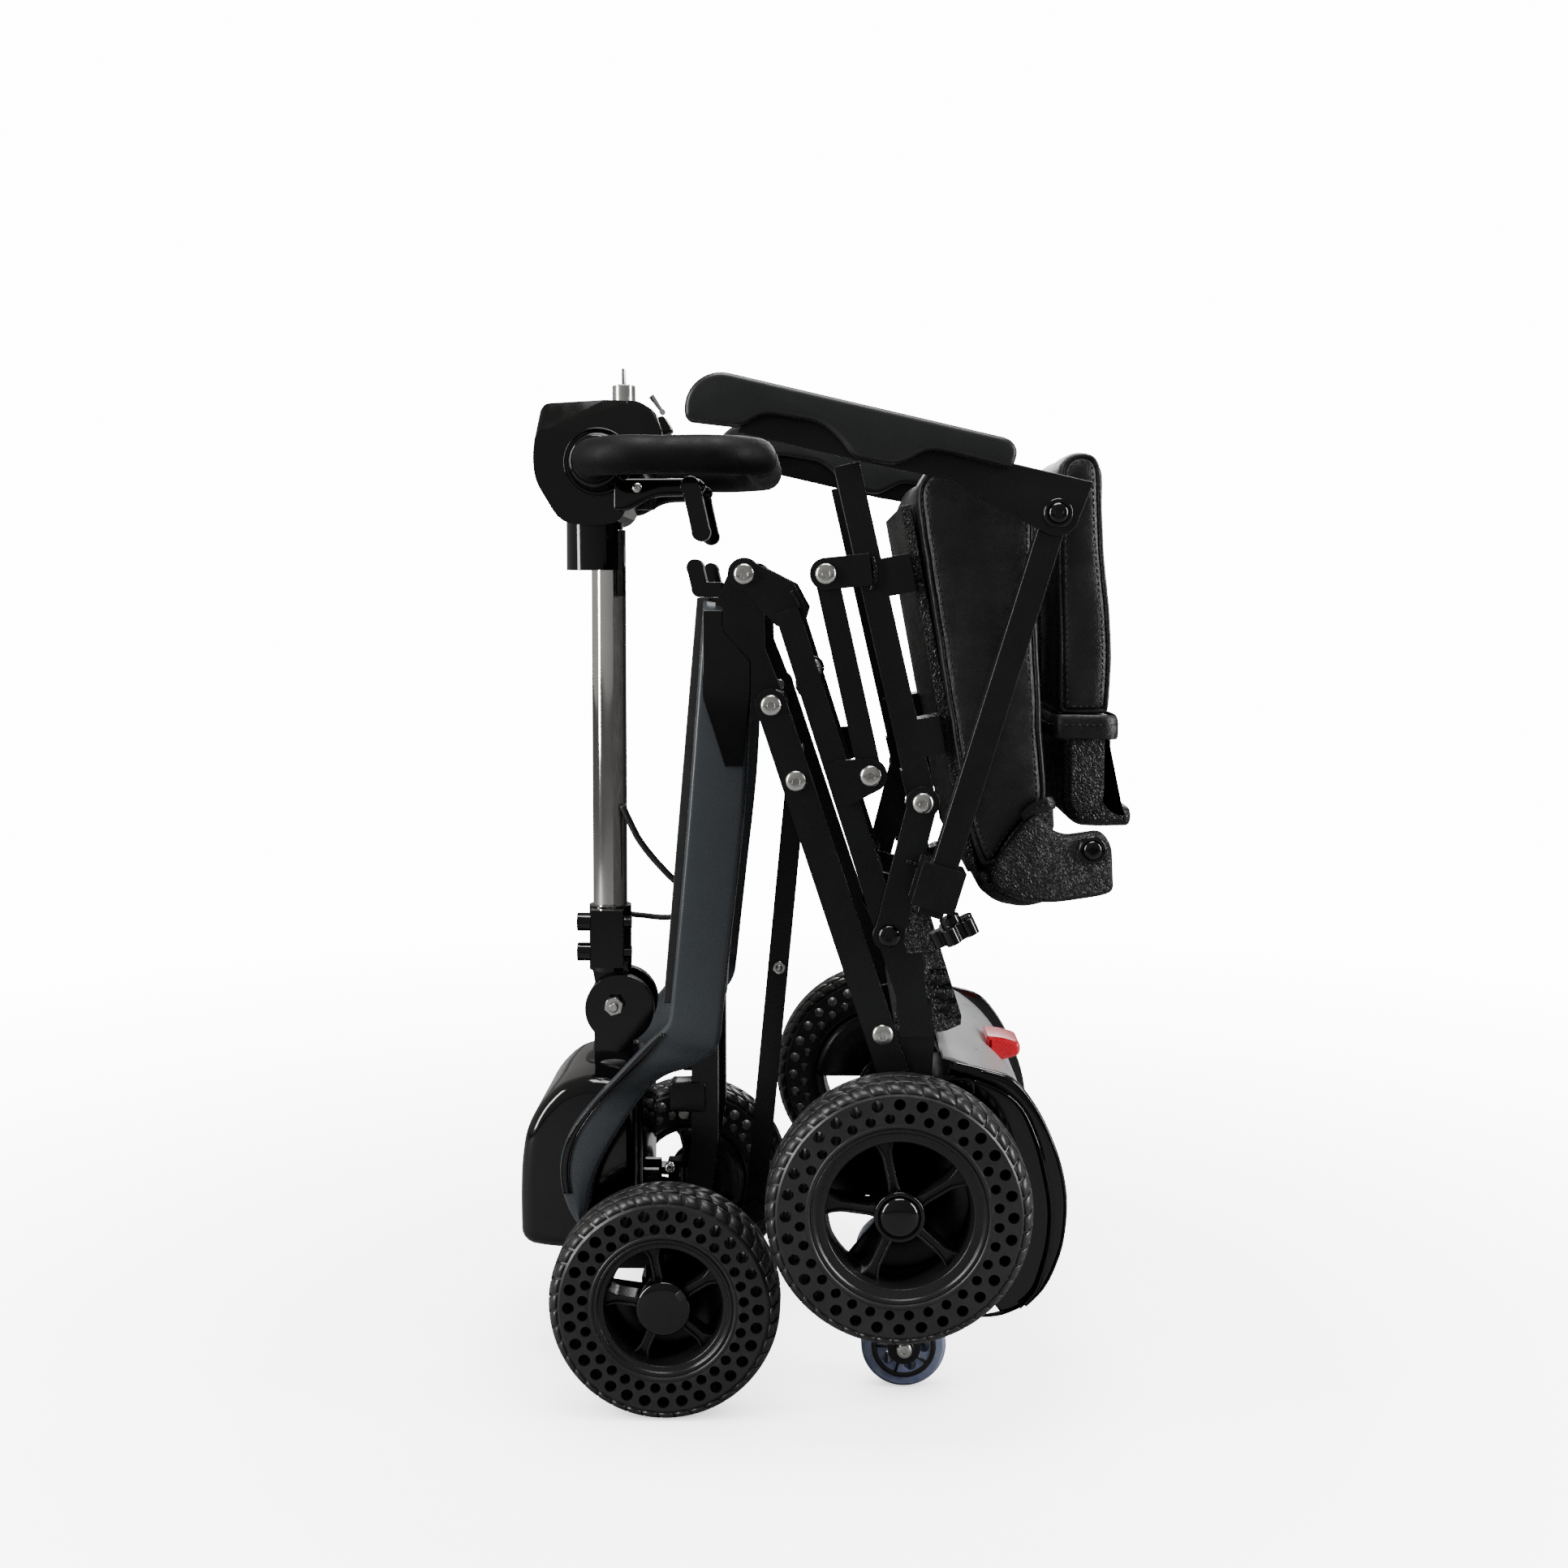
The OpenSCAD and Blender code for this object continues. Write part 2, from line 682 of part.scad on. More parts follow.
// ---- Armrests ----
module arm_plate_outline() {
  polygon(concat([[-51.8, 773.7], [69.1, 745.7], [110.9, 738.4], [150.4, 713]],
    arc(arm_pivot, 17, 235, 350, 8), [[215, 736.5], [155, 751], [60, 772], [-40, 790]]));
}
module armrest() {
  color(steel) difference() {
    slab(post_out + 1, post_out + 6) arm_plate_outline();
    rod_y(arm_pivot, 6, 180, 240);
  }
  color(gloss) {
    rod_y(arm_pivot, 6, post_in, post_out + 6);
    rod_y(arm_pivot, 10, post_out + 6, post_out + 11);
  }
}
module armrest_pad() {
  color(satin) difference() {
    slab(post_in + 4, post_out + 26) polygon(concat([[152.6, 745.6]],
      arc([143.5, 756.5], 12.5, 0, 76, 5), arc([-63, 790], 27, 76, 196, 10),
      [[-49.3, 777.9], [-31.1, 787.5], [10.8, 780.2], [24.7, 768.7], [34.5, 754.8],
      [66.6, 748.1], [89.6, 759.6], [103.5, 758.3]]));
    slab(post_out + 1, post_out + 6) arm_plate_outline();
  }
}

// ---- Seat ----
module seat_frame() {
  color(satin) {
    both() {
      slab(beam_in, beam_out) {
        square_bar([31, 753], [86, 512], seat_tube_w);
        translate(seat_pivot) circle(r = 12);
        square_bar([84, 518], seat_pivot, 22);
      }
      slab(beam_out - 0.6, plate_in + 4) {
        translate(strut_top) circle(r = 12.5);
        square_bar(strut_top, [50, 672], 25);
      }
      for (t = [0.18, 0.62]) slab(beam_in - 12, beam_out) square_bar(board_face(t)
        + 34 * board_normal, board_face(t), 30);
      bolt_y(seat_pivot, pin_r, beam_in, plate_out + 0.3);
      bolt_y(strut_top, pin_r, beam_in, plate_in + 4);
    }
  }
}
function board_face(t) = board_top + t * (board_low - board_top) + 4 * board_normal;
module seat_board() {
  color(satin) slab(-seat_half + 12, seat_half - 12) square_bar(board_top, board_low, 8);
}
module seat_cushion() {
  color(gloss) slab(-seat_half, seat_half) polygon(concat([[81.8, 722]],
    arc([104, 735], 22, 150, 80, 5), arc([168, 741], 14, 90, 0, 5),
    [[180, 673], [184, 579], [190, 490], [178, 480], [160, 456], [150, 436], [135, 436.5]]));
}
module hinge_corners() {
  color(satin) both() difference() {
    slab(seat_half + 0.4, seat_half + 8) polygon([[178, 483.6], [191, 470], [201, 467],
      [228, 471], [236, 459], [237.6, 423], [165, 416], [143, 428], [143, 441], [155, 458],
      [169, 475]]);
    rod_y(back_pivot, pin_r, 150, 200);
  }
  color(satin) slab(-seat_half - 1, seat_half + 1) polygon([[130, 424], [146, 412], [170, 408],
    [190, 416], [190, 430], [150, 435.6], [134, 431.6]]);
  color(gloss) both() bolt_y(back_pivot, pin_r, seat_half - 10, seat_half + 8);
}

// ---- Backrest ----
module backrest_shell() {
  color(satin) difference() {
    union() {
      slab(-back_half, back_half) polygon([[200, 556], [238, 556], [238.2, 487], [254.5, 487],
        [254.5, 471], [212, 471], [203, 478], [200, 488]]);
      both() slab(back_half - 3, seat_half - 0.1) {
        translate(back_pivot) circle(r = 14);
        polygon([[206.6, 456], [234.4, 456], [236, 486], [205, 486]]);
      }
    }
    both() rod_y(back_pivot, pin_r + fit, 150, 190);
  }
}
module backrest_cushion() {
  color(gloss) slab(-back_half - 2, back_half + 2) polygon(concat([[194, 556.3], [240, 556.3],
    [241, 610], [233, 700]], arc([214, 748], 18.6, 0, 90, 6), arc([210, 748], 18.6, 100, 180, 5),
    [[191.6, 700]]));
}

front_axle_frame();
front_shroud();
on_side(-1) knuckle();  // knuckle_left
on_side(1) knuckle();  // knuckle_right
on_side(-1) front_tyre();  // front_tyre_left
on_side(1) front_tyre();  // front_tyre_right
on_side(-1) front_rim();  // front_rim_left
on_side(1) front_rim();  // front_rim_right
tie_rod();
steering_shaft();
tilt_housing();
column_bolts();
column_tube();
column_collar();
head_housing();
handlebar();
key_switch();
ignition_key();
toggle_lever();
on_side(-1) throttle_lever();  // throttle_lever_left
on_side(1) throttle_lever();  // throttle_lever_right
speed_dial();
control_cables();
deck_frame();
deck_board();
on_side(-1) side_cover();  // side_cover_left
on_side(1) side_cover();  // side_cover_right
deck_end_caps();
fold_pins();
lower_links();
fold_strut();
main_beams();
rear_axle_housing();
drive_motor();
battery_box();
rear_cover();
cover_flange();
tail_reflector();
trolley_forks();
on_side(-1) rear_tyre();  // rear_tyre_left
on_side(1) rear_tyre();  // rear_tyre_right
on_side(-1) rear_rim();  // rear_rim_left
on_side(1) rear_rim();  // rear_rim_right
on_side(-1) trolley_wheel();  // trolley_wheel_left
on_side(1) trolley_wheel();  // trolley_wheel_right
seat_struts();
rocker_links();
armrest_posts();
on_side(-1) star_knob();  // star_knob_left
on_side(1) star_knob();  // star_knob_right
on_side(-1) armrest();  // armrest_left
on_side(1) armrest();  // armrest_right
on_side(-1) armrest_pad();  // armrest_pad_left
on_side(1) armrest_pad();  // armrest_pad_right
seat_frame();
seat_board();
seat_cushion();
hinge_corners();
backrest_shell();
backrest_cushion();
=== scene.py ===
"""Looks of the folding mobility scooter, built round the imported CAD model. Lengths are in millimetres, and turned
into metres where a mesh is made; the stage, the lamps and the camera are in metres."""
import json
import math
import random

import bmesh
import bpy
import numpy as np
from mathutils import Matrix, Vector, noise


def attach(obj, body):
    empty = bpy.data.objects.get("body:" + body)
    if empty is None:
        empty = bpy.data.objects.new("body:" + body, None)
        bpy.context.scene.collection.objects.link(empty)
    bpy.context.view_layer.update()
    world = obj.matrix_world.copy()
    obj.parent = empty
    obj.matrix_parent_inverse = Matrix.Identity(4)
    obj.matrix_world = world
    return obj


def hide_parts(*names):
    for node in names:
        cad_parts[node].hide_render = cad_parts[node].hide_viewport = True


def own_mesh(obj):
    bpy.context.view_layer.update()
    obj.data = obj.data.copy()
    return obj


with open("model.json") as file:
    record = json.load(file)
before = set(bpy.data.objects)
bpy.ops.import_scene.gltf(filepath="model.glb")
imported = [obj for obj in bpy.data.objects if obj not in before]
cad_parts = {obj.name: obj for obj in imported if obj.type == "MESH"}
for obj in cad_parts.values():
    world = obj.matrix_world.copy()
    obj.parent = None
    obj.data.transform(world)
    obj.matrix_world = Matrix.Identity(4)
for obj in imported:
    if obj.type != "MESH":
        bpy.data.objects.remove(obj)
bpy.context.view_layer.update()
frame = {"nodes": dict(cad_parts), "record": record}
NODES = frame["nodes"]
SLOT_OF = {s["node"]: s["material_slot"] for s in frame["record"]["subparts"]}
MM = 0.001
SIDES = (("left", -1), ("right", 1))
# Axes that run across the scooter, as (x, z)
FRONT_WHEEL, REAR_WHEEL, TROLLEY_WHEEL = (-112.4, 91), (71.2, 181.8), (80, 35)
HANDLEBAR_AXIS = (-176, 763)


# ---- materials
class Graph:
    """A short way to write a material's nodes."""

    def __init__(self, name):
        self.mat = bpy.data.materials.new(name)
        self.mat.use_nodes = True
        self.tree = self.mat.node_tree
        self.shader = self.tree.nodes["Principled BSDF"]
        self.coord = self.node("ShaderNodeTexCoord").outputs["Object"]

    def node(self, kind, **settings):
        n = self.tree.nodes.new(kind)
        for key, value in settings.items():
            if hasattr(n, key):
                setattr(n, key, value)
            else:
                n.inputs[key.replace("_", " ").title()].default_value = value
        return n

    def link(self, a, b):
        self.tree.links.new(a, b)

    def noise(self, scale, detail=3.0, rough=0.55, stretch=None):
        n = self.node("ShaderNodeTexNoise", scale=scale, detail=detail, roughness=rough)
        if stretch:
            m = self.node("ShaderNodeMapping")
            m.inputs["Scale"].default_value = stretch
            self.link(self.coord, m.inputs["Vector"])
            self.link(m.outputs["Vector"], n.inputs["Vector"])
        else:
            self.link(self.coord, n.inputs["Vector"])
        return n.outputs["Fac"]

    def cells(self, scale, feature="DISTANCE_TO_EDGE"):
        n = self.node("ShaderNodeTexVoronoi", scale=scale)
        n.feature = feature
        self.link(self.coord, n.inputs["Vector"])
        return n.outputs["Distance"]

    def ramp(self, fac, low, high, a, b):
        n = self.node("ShaderNodeValToRGB")
        n.color_ramp.elements[0].position = low
        n.color_ramp.elements[1].position = high
        n.color_ramp.elements[0].color = a
        n.color_ramp.elements[1].color = b
        self.link(fac, n.inputs["Fac"])
        return n.outputs["Color"]

    def span(self, fac, low, high, out_low, out_high):
        n = self.node("ShaderNodeMapRange")
        for key, value in zip(("From Min", "From Max", "To Min", "To Max"), (low, high, out_low, out_high)):
            n.inputs[key].default_value = value
        self.link(fac, n.inputs["Value"])
        return n.outputs["Result"]

    def mix(self, fac, a, b):
        n = self.node("ShaderNodeMix")
        n.data_type = "RGBA"
        self.link(fac, n.inputs[0])
        for value, socket in ((a, n.inputs[6]), (b, n.inputs[7])):
            if isinstance(value, tuple):
                socket.default_value = value
            else:
                self.link(value, socket)
        return n.outputs[2]

    def bump(self, height, distance, strength, under=None):
        n = self.node("ShaderNodeBump")
        n.inputs["Strength"].default_value = strength
        n.inputs["Distance"].default_value = distance
        self.link(height, n.inputs["Height"])
        if under is not None:
            self.link(under, n.inputs["Normal"])
        return n.outputs["Normal"]

    def set(self, **values):
        for key, value in values.items():
            socket = self.shader.inputs[key.replace("_", " ")]
            if isinstance(value, bpy.types.NodeSocket):
                self.link(value, socket)
            else:
                socket.default_value = value


def rgb(r, g=None, b=None):
    return (r, r if g is None else g, r if b is None else b, 1.0)


def coated(name, dark, light, rough, grain=0.0, grain_scale=900.0, gloss=0.5, coat=0.0):
    """Paint or moulded plastic: slow colour change, uneven gloss and fine grain."""
    g = Graph(name)
    g.set(
        Base_Color=g.ramp(g.noise(9.0, 5.0), 0.25, 0.8, dark, light),
        Roughness=g.span(g.noise(34.0, 6.0, 0.65), 0.3, 0.7, max(rough - 0.04, 0.02), rough + 0.06),
        Specular_IOR_Level=gloss,
        Coat_Weight=coat,
        Coat_Roughness=0.06,
    )
    if grain:
        g.set(Normal=g.bump(g.noise(grain_scale, 2.0), grain * MM, 0.6, g.bump(g.noise(60.0, 2.0), 0.12 * MM, 0.25)))
    return g.mat


def leather(name):
    g = Graph(name)
    pores = g.cells(620.0)
    creases = g.noise(150.0, 5.0, 0.6, (1.0, 1.0, 0.45))
    folds = g.noise(22.0, 3.0, 0.5)
    base = g.ramp(g.noise(11.0, 4.0), 0.3, 0.75, rgb(0.0016, 0.0017, 0.0017), rgb(0.0036, 0.0037, 0.0038))
    g.set(
        Base_Color=g.mix(g.span(pores, 0.0, 0.16, 0.45, 0.0), base, rgb(0.0035)),
        Roughness=g.span(g.noise(45.0, 5.0), 0.3, 0.7, 0.29, 0.43),
        Normal=g.bump(g.span(pores, 0.0, 0.22, 0.0, 1.0), 0.22 * MM, 0.45,
                      g.bump(creases, 0.7 * MM, 0.3, g.bump(folds, 3.0 * MM, 0.25))),
        Specular_IOR_Level=0.45,
        Sheen_Weight=0.04,
    )
    return g.mat


def pebbled(name, painted_groove_shade, base_light, scale, depth):
    """Moulded plastic with a coarse leather-like grain, its colour darker in the hollows between the pebbles as painted
    shade.
    """
    g = Graph(name)
    warp = g.node("ShaderNodeTexNoise", scale=210.0, detail=2.0)
    g.link(g.coord, warp.inputs["Vector"])
    moved = g.node("ShaderNodeVectorMath", operation="MULTIPLY_ADD")
    g.link(warp.outputs["Color"], moved.inputs[0])
    moved.inputs[1].default_value = (0.006, 0.006, 0.006)
    g.link(g.coord, moved.inputs[2])
    cell = g.node("ShaderNodeTexVoronoi", scale=scale)
    cell.feature = "DISTANCE_TO_EDGE"
    g.link(moved.outputs["Vector"], cell.inputs["Vector"])
    height = g.span(cell.outputs["Distance"], 0.0, 0.35, 0.0, 1.0)
    # Painted shade: the colour darkens in the hollows between the pebbles, where the grain's bump is low.
    g.set(
        Base_Color=g.mix(height, painted_groove_shade, base_light),
        Roughness=g.span(g.noise(60.0, 4.0), 0.3, 0.7, 0.34, 0.46),
        Normal=g.bump(height, depth * MM, 0.8),
        Specular_IOR_Level=0.4,
    )
    return g.mat


def rubber(name, dark, light, rough):
    g = Graph(name)
    dust = g.span(g.noise(28.0, 6.0, 0.7), 0.45, 0.72, 0.0, 0.55)
    g.set(
        Base_Color=g.mix(dust, g.ramp(g.noise(14.0, 4.0), 0.3, 0.7, dark, light), rgb(0.02, 0.0192, 0.0184)),
        Roughness=g.span(g.noise(90.0, 4.0), 0.3, 0.7, rough - 0.08, rough + 0.12),
        Normal=g.bump(g.noise(1400.0, 2.0), 0.12 * MM, 0.5),
    )
    return g.mat


def foam(name):
    g = Graph(name)
    cells = g.cells(900.0, "F1")
    g.set(
        Base_Color=g.ramp(g.noise(18.0, 4.0), 0.3, 0.7, rgb(0.001), rgb(0.002)),
        Roughness=g.span(g.noise(70.0, 4.0), 0.3, 0.7, 0.5, 0.66),
        Specular_IOR_Level=0.18,
        Normal=g.bump(cells, 0.25 * MM, 0.55, g.bump(g.noise(24.0), 0.8 * MM, 0.3)),
    )
    return g.mat


def metal(name, colour, rough, brushed=None):
    g = Graph(name)
    streak = g.noise(60.0, 4.0, 0.6, brushed or (1.0, 1.0, 1.0))
    g.set(
        Base_Color=g.ramp(g.noise(20.0, 3.0), 0.3, 0.7, rgb(*[c * 0.86 for c in colour]), rgb(*colour)),
        Metallic=1.0,
        Roughness=g.span(streak, 0.3, 0.7, max(rough - 0.05, 0.02), rough + 0.07),
        Normal=g.bump(streak, 0.03 * MM, 0.3),
    )
    return g.mat


def clear_blue(name):
    g = Graph(name)
    g.set(
        Base_Color=g.ramp(g.noise(40.0, 3.0), 0.3, 0.7, rgb(0.16, 0.2, 0.36), rgb(0.36, 0.41, 0.55)),
        Roughness=g.span(g.noise(80.0, 3.0), 0.3, 0.7, 0.12, 0.26),
        Transmission_Weight=0.35,
        IOR=1.45,
        Normal=g.bump(g.noise(200.0, 2.0), 0.08 * MM, 0.4),
    )
    return g.mat


def lens(name, colour):
    g = Graph(name)
    prism = g.node("ShaderNodeTexChecker", scale=520.0)
    g.link(g.coord, prism.inputs["Vector"])
    g.set(
        Base_Color=g.mix(prism.outputs["Fac"], colour, tuple(c * 0.8 for c in colour[:3]) + (1.0,)),
        Roughness=g.span(g.noise(60.0), 0.3, 0.7, 0.24, 0.36),
        Normal=g.bump(prism.outputs["Fac"], 0.1 * MM, 0.3),
        Coat_Weight=0.1,
        # Painted glow: the lens gives off a faint light of its own colour, though it is no lamp.
        Emission_Color=colour,
        Emission_Strength=0.1,
    )
    return g.mat


def ribbed_mat(name):
    """Footboard mat: fine ribs along the board with a soft grain."""
    g = Graph(name)
    wave = g.node("ShaderNodeTexWave", scale=72.0)
    wave.bands_direction = "Y"
    g.link(g.coord, wave.inputs["Vector"])
    g.set(
        Base_Color=g.ramp(g.noise(20.0, 5.0), 0.3, 0.7, rgb(0.006), rgb(0.012)),
        Roughness=g.span(g.noise(80.0, 4.0), 0.3, 0.7, 0.5, 0.72),
        Normal=g.bump(wave.outputs["Fac"], 0.6 * MM, 0.6, g.bump(g.noise(900.0), 0.1 * MM, 0.5)),
    )
    return g.mat


MATERIALS = {
    "black_satin": coated("satin_powder_coat", rgb(0.0038, 0.0039, 0.004), rgb(0.0074, 0.0076, 0.0078), 0.27, 0.05,
                          1500.0, 0.36),
    "black_gloss": coated("gloss_black", rgb(0.0008), rgb(0.0015), 0.09, gloss=0.42, coat=0.25),
    "charcoal_cover": coated("charcoal_satin", rgb(0.036, 0.0415, 0.0465), rgb(0.046, 0.053, 0.0595), 0.26, 0.04,
                             1300.0, 0.38),
    "deck_mat": ribbed_mat("footboard_mat"),
    "black_leather": leather("grained_leather"),
    "foam_grip": foam("soft_foam"),
    "arm_pad": coated("arm_pad_skin", rgb(0.008, 0.0084, 0.009), rgb(0.0118, 0.0122, 0.013), 0.4, 0.08, 700.0, 0.4),
    # The first colour of the pebbled plastic is painted shade in the hollows of its grain.
    "grained_plastic": pebbled("pebbled_plastic", rgb(0.0015), rgb(0.0085, 0.0088, 0.0092), 360.0, 0.8),
    "tyre_rubber": rubber("tyre_rubber", rgb(0.0095), rgb(0.016), 0.36),
    "rim_plastic": coated("rim_plastic", rgb(0.008), rgb(0.0125), 0.25, 0.05, 900.0, 0.38),
    "clear_urethane": clear_blue("clear_urethane"),
    "chrome": metal("polished_chrome", (0.86, 0.85, 0.83), 0.05, (1.0, 1.0, 0.04)),
    "bolt_steel": metal("bright_steel", (0.72, 0.72, 0.69), 0.2),
    "grey_cover": coated("mid_grey_cover", rgb(0.34, 0.345, 0.35), rgb(0.42, 0.425, 0.43), 0.3, 0.04, 1100.0),
    "red_lens": lens("red_reflector", rgb(0.72, 0.006, 0.022)),
    "cable_sheath": rubber("cable_sheath", rgb(0.005), rgb(0.008), 0.42),
    "motor_black": coated("motor_casting", rgb(0.01), rgb(0.017), 0.46, 0.2, 700.0, 0.4),
}


# ---- mesh helpers
def piece(name, verts, faces, slot, body, replaces=()):
    """A new mesh piece from points in millimetres, riding on a body."""
    data = bpy.data.meshes.new(name)
    data.from_pydata([tuple(c * MM for c in v) for v in verts], [], [tuple(f) for f in faces])
    data.validate()
    bm = bmesh.new()
    bm.from_mesh(data)
    bmesh.ops.recalc_face_normals(bm, faces=bm.faces)
    bm.to_mesh(data)
    bm.free()
    return dress(bpy.data.objects.new(name, data), slot, body, replaces)


def smooth_shade(ob):
    ob.data.polygons.foreach_set("use_smooth", [True] * len(ob.data.polygons))


def dress(ob, slot, body, replaces=()):
    """Puts a piece in the scene with its material, its body and the CAD nodes it stands for."""
    if ob.name not in bpy.context.scene.collection.objects:
        bpy.context.scene.collection.objects.link(ob)
    ob.data.materials.clear()
    ob.data.materials.append(MATERIALS[slot])
    smooth_shade(ob)
    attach(ob, body)
    if replaces:
        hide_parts(*replaces)
    return ob


def soften(ob, width, segments=2, angle=38.0, weld=True):
    """Real rounded edges and even shading on a hard part, as modifiers."""
    if weld:
        ob.modifiers.new("weld", "WELD").merge_threshold = 0.00001
        flat = ob.modifiers.new("flat", "DECIMATE")
        flat.decimate_type = "DISSOLVE"
        flat.angle_limit = math.radians(1.5)
    b = ob.modifiers.new("round", "BEVEL")
    b.width, b.segments, b.limit_method, b.angle_limit = width * MM, segments, "ANGLE", math.radians(angle)
    b.use_clamp_overlap = True
    b.harden_normals = False
    b.miter_outer = "MITER_ARC"
    n = ob.modifiers.new("shade", "WEIGHTED_NORMAL")
    n.keep_sharp = False
    n.weight = 60
    smooth_shade(ob)
    return ob


def polar(centre, r, degrees):
    a = math.radians(degrees)
    return (centre[0] + r * math.cos(a), centre[1] + r * math.sin(a))


def arc(cx, cz, r, a0, a1, n):
    return [polar((cx, cz), r, a0 + (a1 - a0) * i / n) for i in range(n + 1)]


def rounded(points, radius, n=5):
    """The closed outline with each corner turned into an arc of up to that radius."""
    out = []
    count = len(points)
    for i, p in enumerate(points):
        r = radius[i] if isinstance(radius, (list, tuple)) else radius
        a, b, c = Vector(points[i - 1]), Vector(p), Vector(points[(i + 1) % count])
        u, v = (a - b), (c - b)
        d = min(r, u.length * 0.45, v.length * 0.45)
        if d < 0.05:
            out.append(tuple(b))
            continue
        s, e = b + u.normalized() * d, b + v.normalized() * d
        for k in range(n + 1):
            t = k / n
            q = s * (1 - t) ** 2 + b * 2 * t * (1 - t) + e * t * t
            out.append((q.x, q.y))
    return out


def resample(points, step):
    """The closed outline with points an even step apart."""
    p = np.array(points + [points[0]], float)
    d = np.r_[0, np.cumsum(np.hypot(*np.diff(p, axis=0).T))]
    n = max(8, int(round(d[-1] / step)))
    s = np.linspace(0, d[-1], n, endpoint=False)
    return np.c_[np.interp(s, d, p[:, 0]), np.interp(s, d, p[:, 1])]


def outward(p):
    """Unit normals of a closed outline, pointing out of it."""
    t = np.roll(p, -1, 0) - np.roll(p, 1, 0)
    n = np.c_[t[:, 1], -t[:, 0]]
    area = 0.5 * np.sum(p[:, 0] * np.roll(p[:, 1], -1) - np.roll(p[:, 0], -1) * p[:, 1])
    n *= np.sign(area)
    return n / np.maximum(np.hypot(n[:, 0], n[:, 1]), 1e-9)[:, None]


def grid(n, k, wrap=False):
    """Faces between n rings of k points each; wrap joins the last ring to the first."""
    return [(r * k + m, r * k + (m + 1) % k, (r + 1) % n * k + (m + 1) % k, (r + 1) % n * k + m)
            for r in range(n if wrap else n - 1) for m in range(k)]


def end_faces(n, k):
    """The faces that close the first and the last of n rings."""
    return [tuple(range(k)), tuple((n - 1) * k + m for m in reversed(range(k)))]


def skin(rows, close_ends=True):
    """Points and faces of equal closed rings of points joined one after another."""
    n, k = len(rows), len(rows[0])
    return [v for row in rows for v in row], grid(n, k) + (end_faces(n, k) if close_ends else [])


def loft(outline, y0, y1, edge, step, segments, extra=0):
    """Points and faces of an outline in X-Z carried from y0 to y1, with rounded rims of radius edge."""
    p = resample(outline, step)
    n = outward(p)
    turns = [math.pi / 2 * k / segments for k in range(segments + 1)]
    front = [(y0 + edge * (1 - math.cos(a)), edge * (1 - math.sin(a))) for a in turns]
    middle = [(y0 + edge + (y1 - y0 - 2 * edge) * (i + 1) / (extra + 1), 0.0) for i in range(extra)]
    back = [(y1 - (y - y0), d) for y, d in reversed(front)]
    return skin([[(x, y, z) for x, z in p - n * d] for y, d in front + middle + back])


def slab(outline, side, y0, y1, edge, step=4.0, segments=3):
    """A loft between two distances from the middle, on one side."""
    return loft(outline, *sorted((side * y0, side * y1)), edge, step, segments)


def around(centre, side, r, y, a):
    """The point at radius r and turn a about an axis across the scooter, and y out from the middle."""
    return (centre[0] + r * math.cos(a), side * y, centre[1] + r * math.sin(a))


def revolve(profile, centre, side, steps=64):
    """A profile of (radius, y) turned about the Y axis through centre; side -1 puts it on the rider's left."""
    turns = [2 * math.pi * k / steps for k in range(steps)]
    return [around(centre, side, r, y, a) for r, y in profile for a in turns], grid(len(profile), steps)


def capped(profile, centre, side, steps=64):
    """The same with both ends closed."""
    verts, faces = revolve(profile, centre, side, steps)
    last = (len(profile) - 1) * steps
    return verts, faces + [tuple(range(steps)), tuple(range(last, last + steps))]


def merge(*parts):
    verts, faces = [], []
    for v, f in parts:
        base = len(verts)
        verts += list(v)
        faces += [tuple(i + base for i in face) for face in f]
    return verts, faces


def tube(points, radius, sides, closed=False):
    """A round tube along points."""
    p = [Vector(q) for q in points]
    n = len(p)
    verts = []
    up = Vector((0, 1, 0))
    for i in range(n):
        a, b = (p[i - 1], p[(i + 1) % n]) if closed else (p[max(i - 1, 0)], p[min(i + 1, n - 1)])
        t = (b - a).normalized()
        side = up - t * up.dot(t)
        if side.length < 0.05:
            side = Vector((0, 0, 1)) - t * t.z
        u = side.normalized()
        v = t.cross(u)
        for k in range(sides):
            w = 2 * math.pi * k / sides
            verts.append(tuple(p[i] + u * (radius * math.cos(w)) + v * (radius * math.sin(w))))
    return verts, grid(n, sides, closed) + ([] if closed else end_faces(n, sides))


def smooth_curve(p, i, t):
    """The Catmull-Rom curve through points p, at a fraction t of the way from point i to the next."""
    a, b, c, d = p[max(i - 1, 0)], p[i], p[i + 1], p[min(i + 2, len(p) - 1)]
    return 0.5 * ((2 * b) + (c - a) * t + (2 * a - 5 * b + 4 * c - d) * t * t + (3 * b - a - 3 * c + d) * t ** 3)


def between(stations):
    """Stations of equal length with three smooth steps added between each two."""
    p = np.array(stations, float)
    return [smooth_curve(p, i, t) for i in range(len(p) - 1) for t in (0, 0.25, 0.5, 0.75)] + [p[-1]]


def spline(points, step):
    """Points about a step apart on a smooth curve through the given ones."""
    p = [Vector(q) for q in points]
    out = []
    for i in range(len(p) - 1):
        count = max(2, int((p[i + 1] - p[i]).length / step))
        out += [smooth_curve(p, i, k / count) for k in range(count)]
    return [tuple(q) for q in out + [p[-1]]]


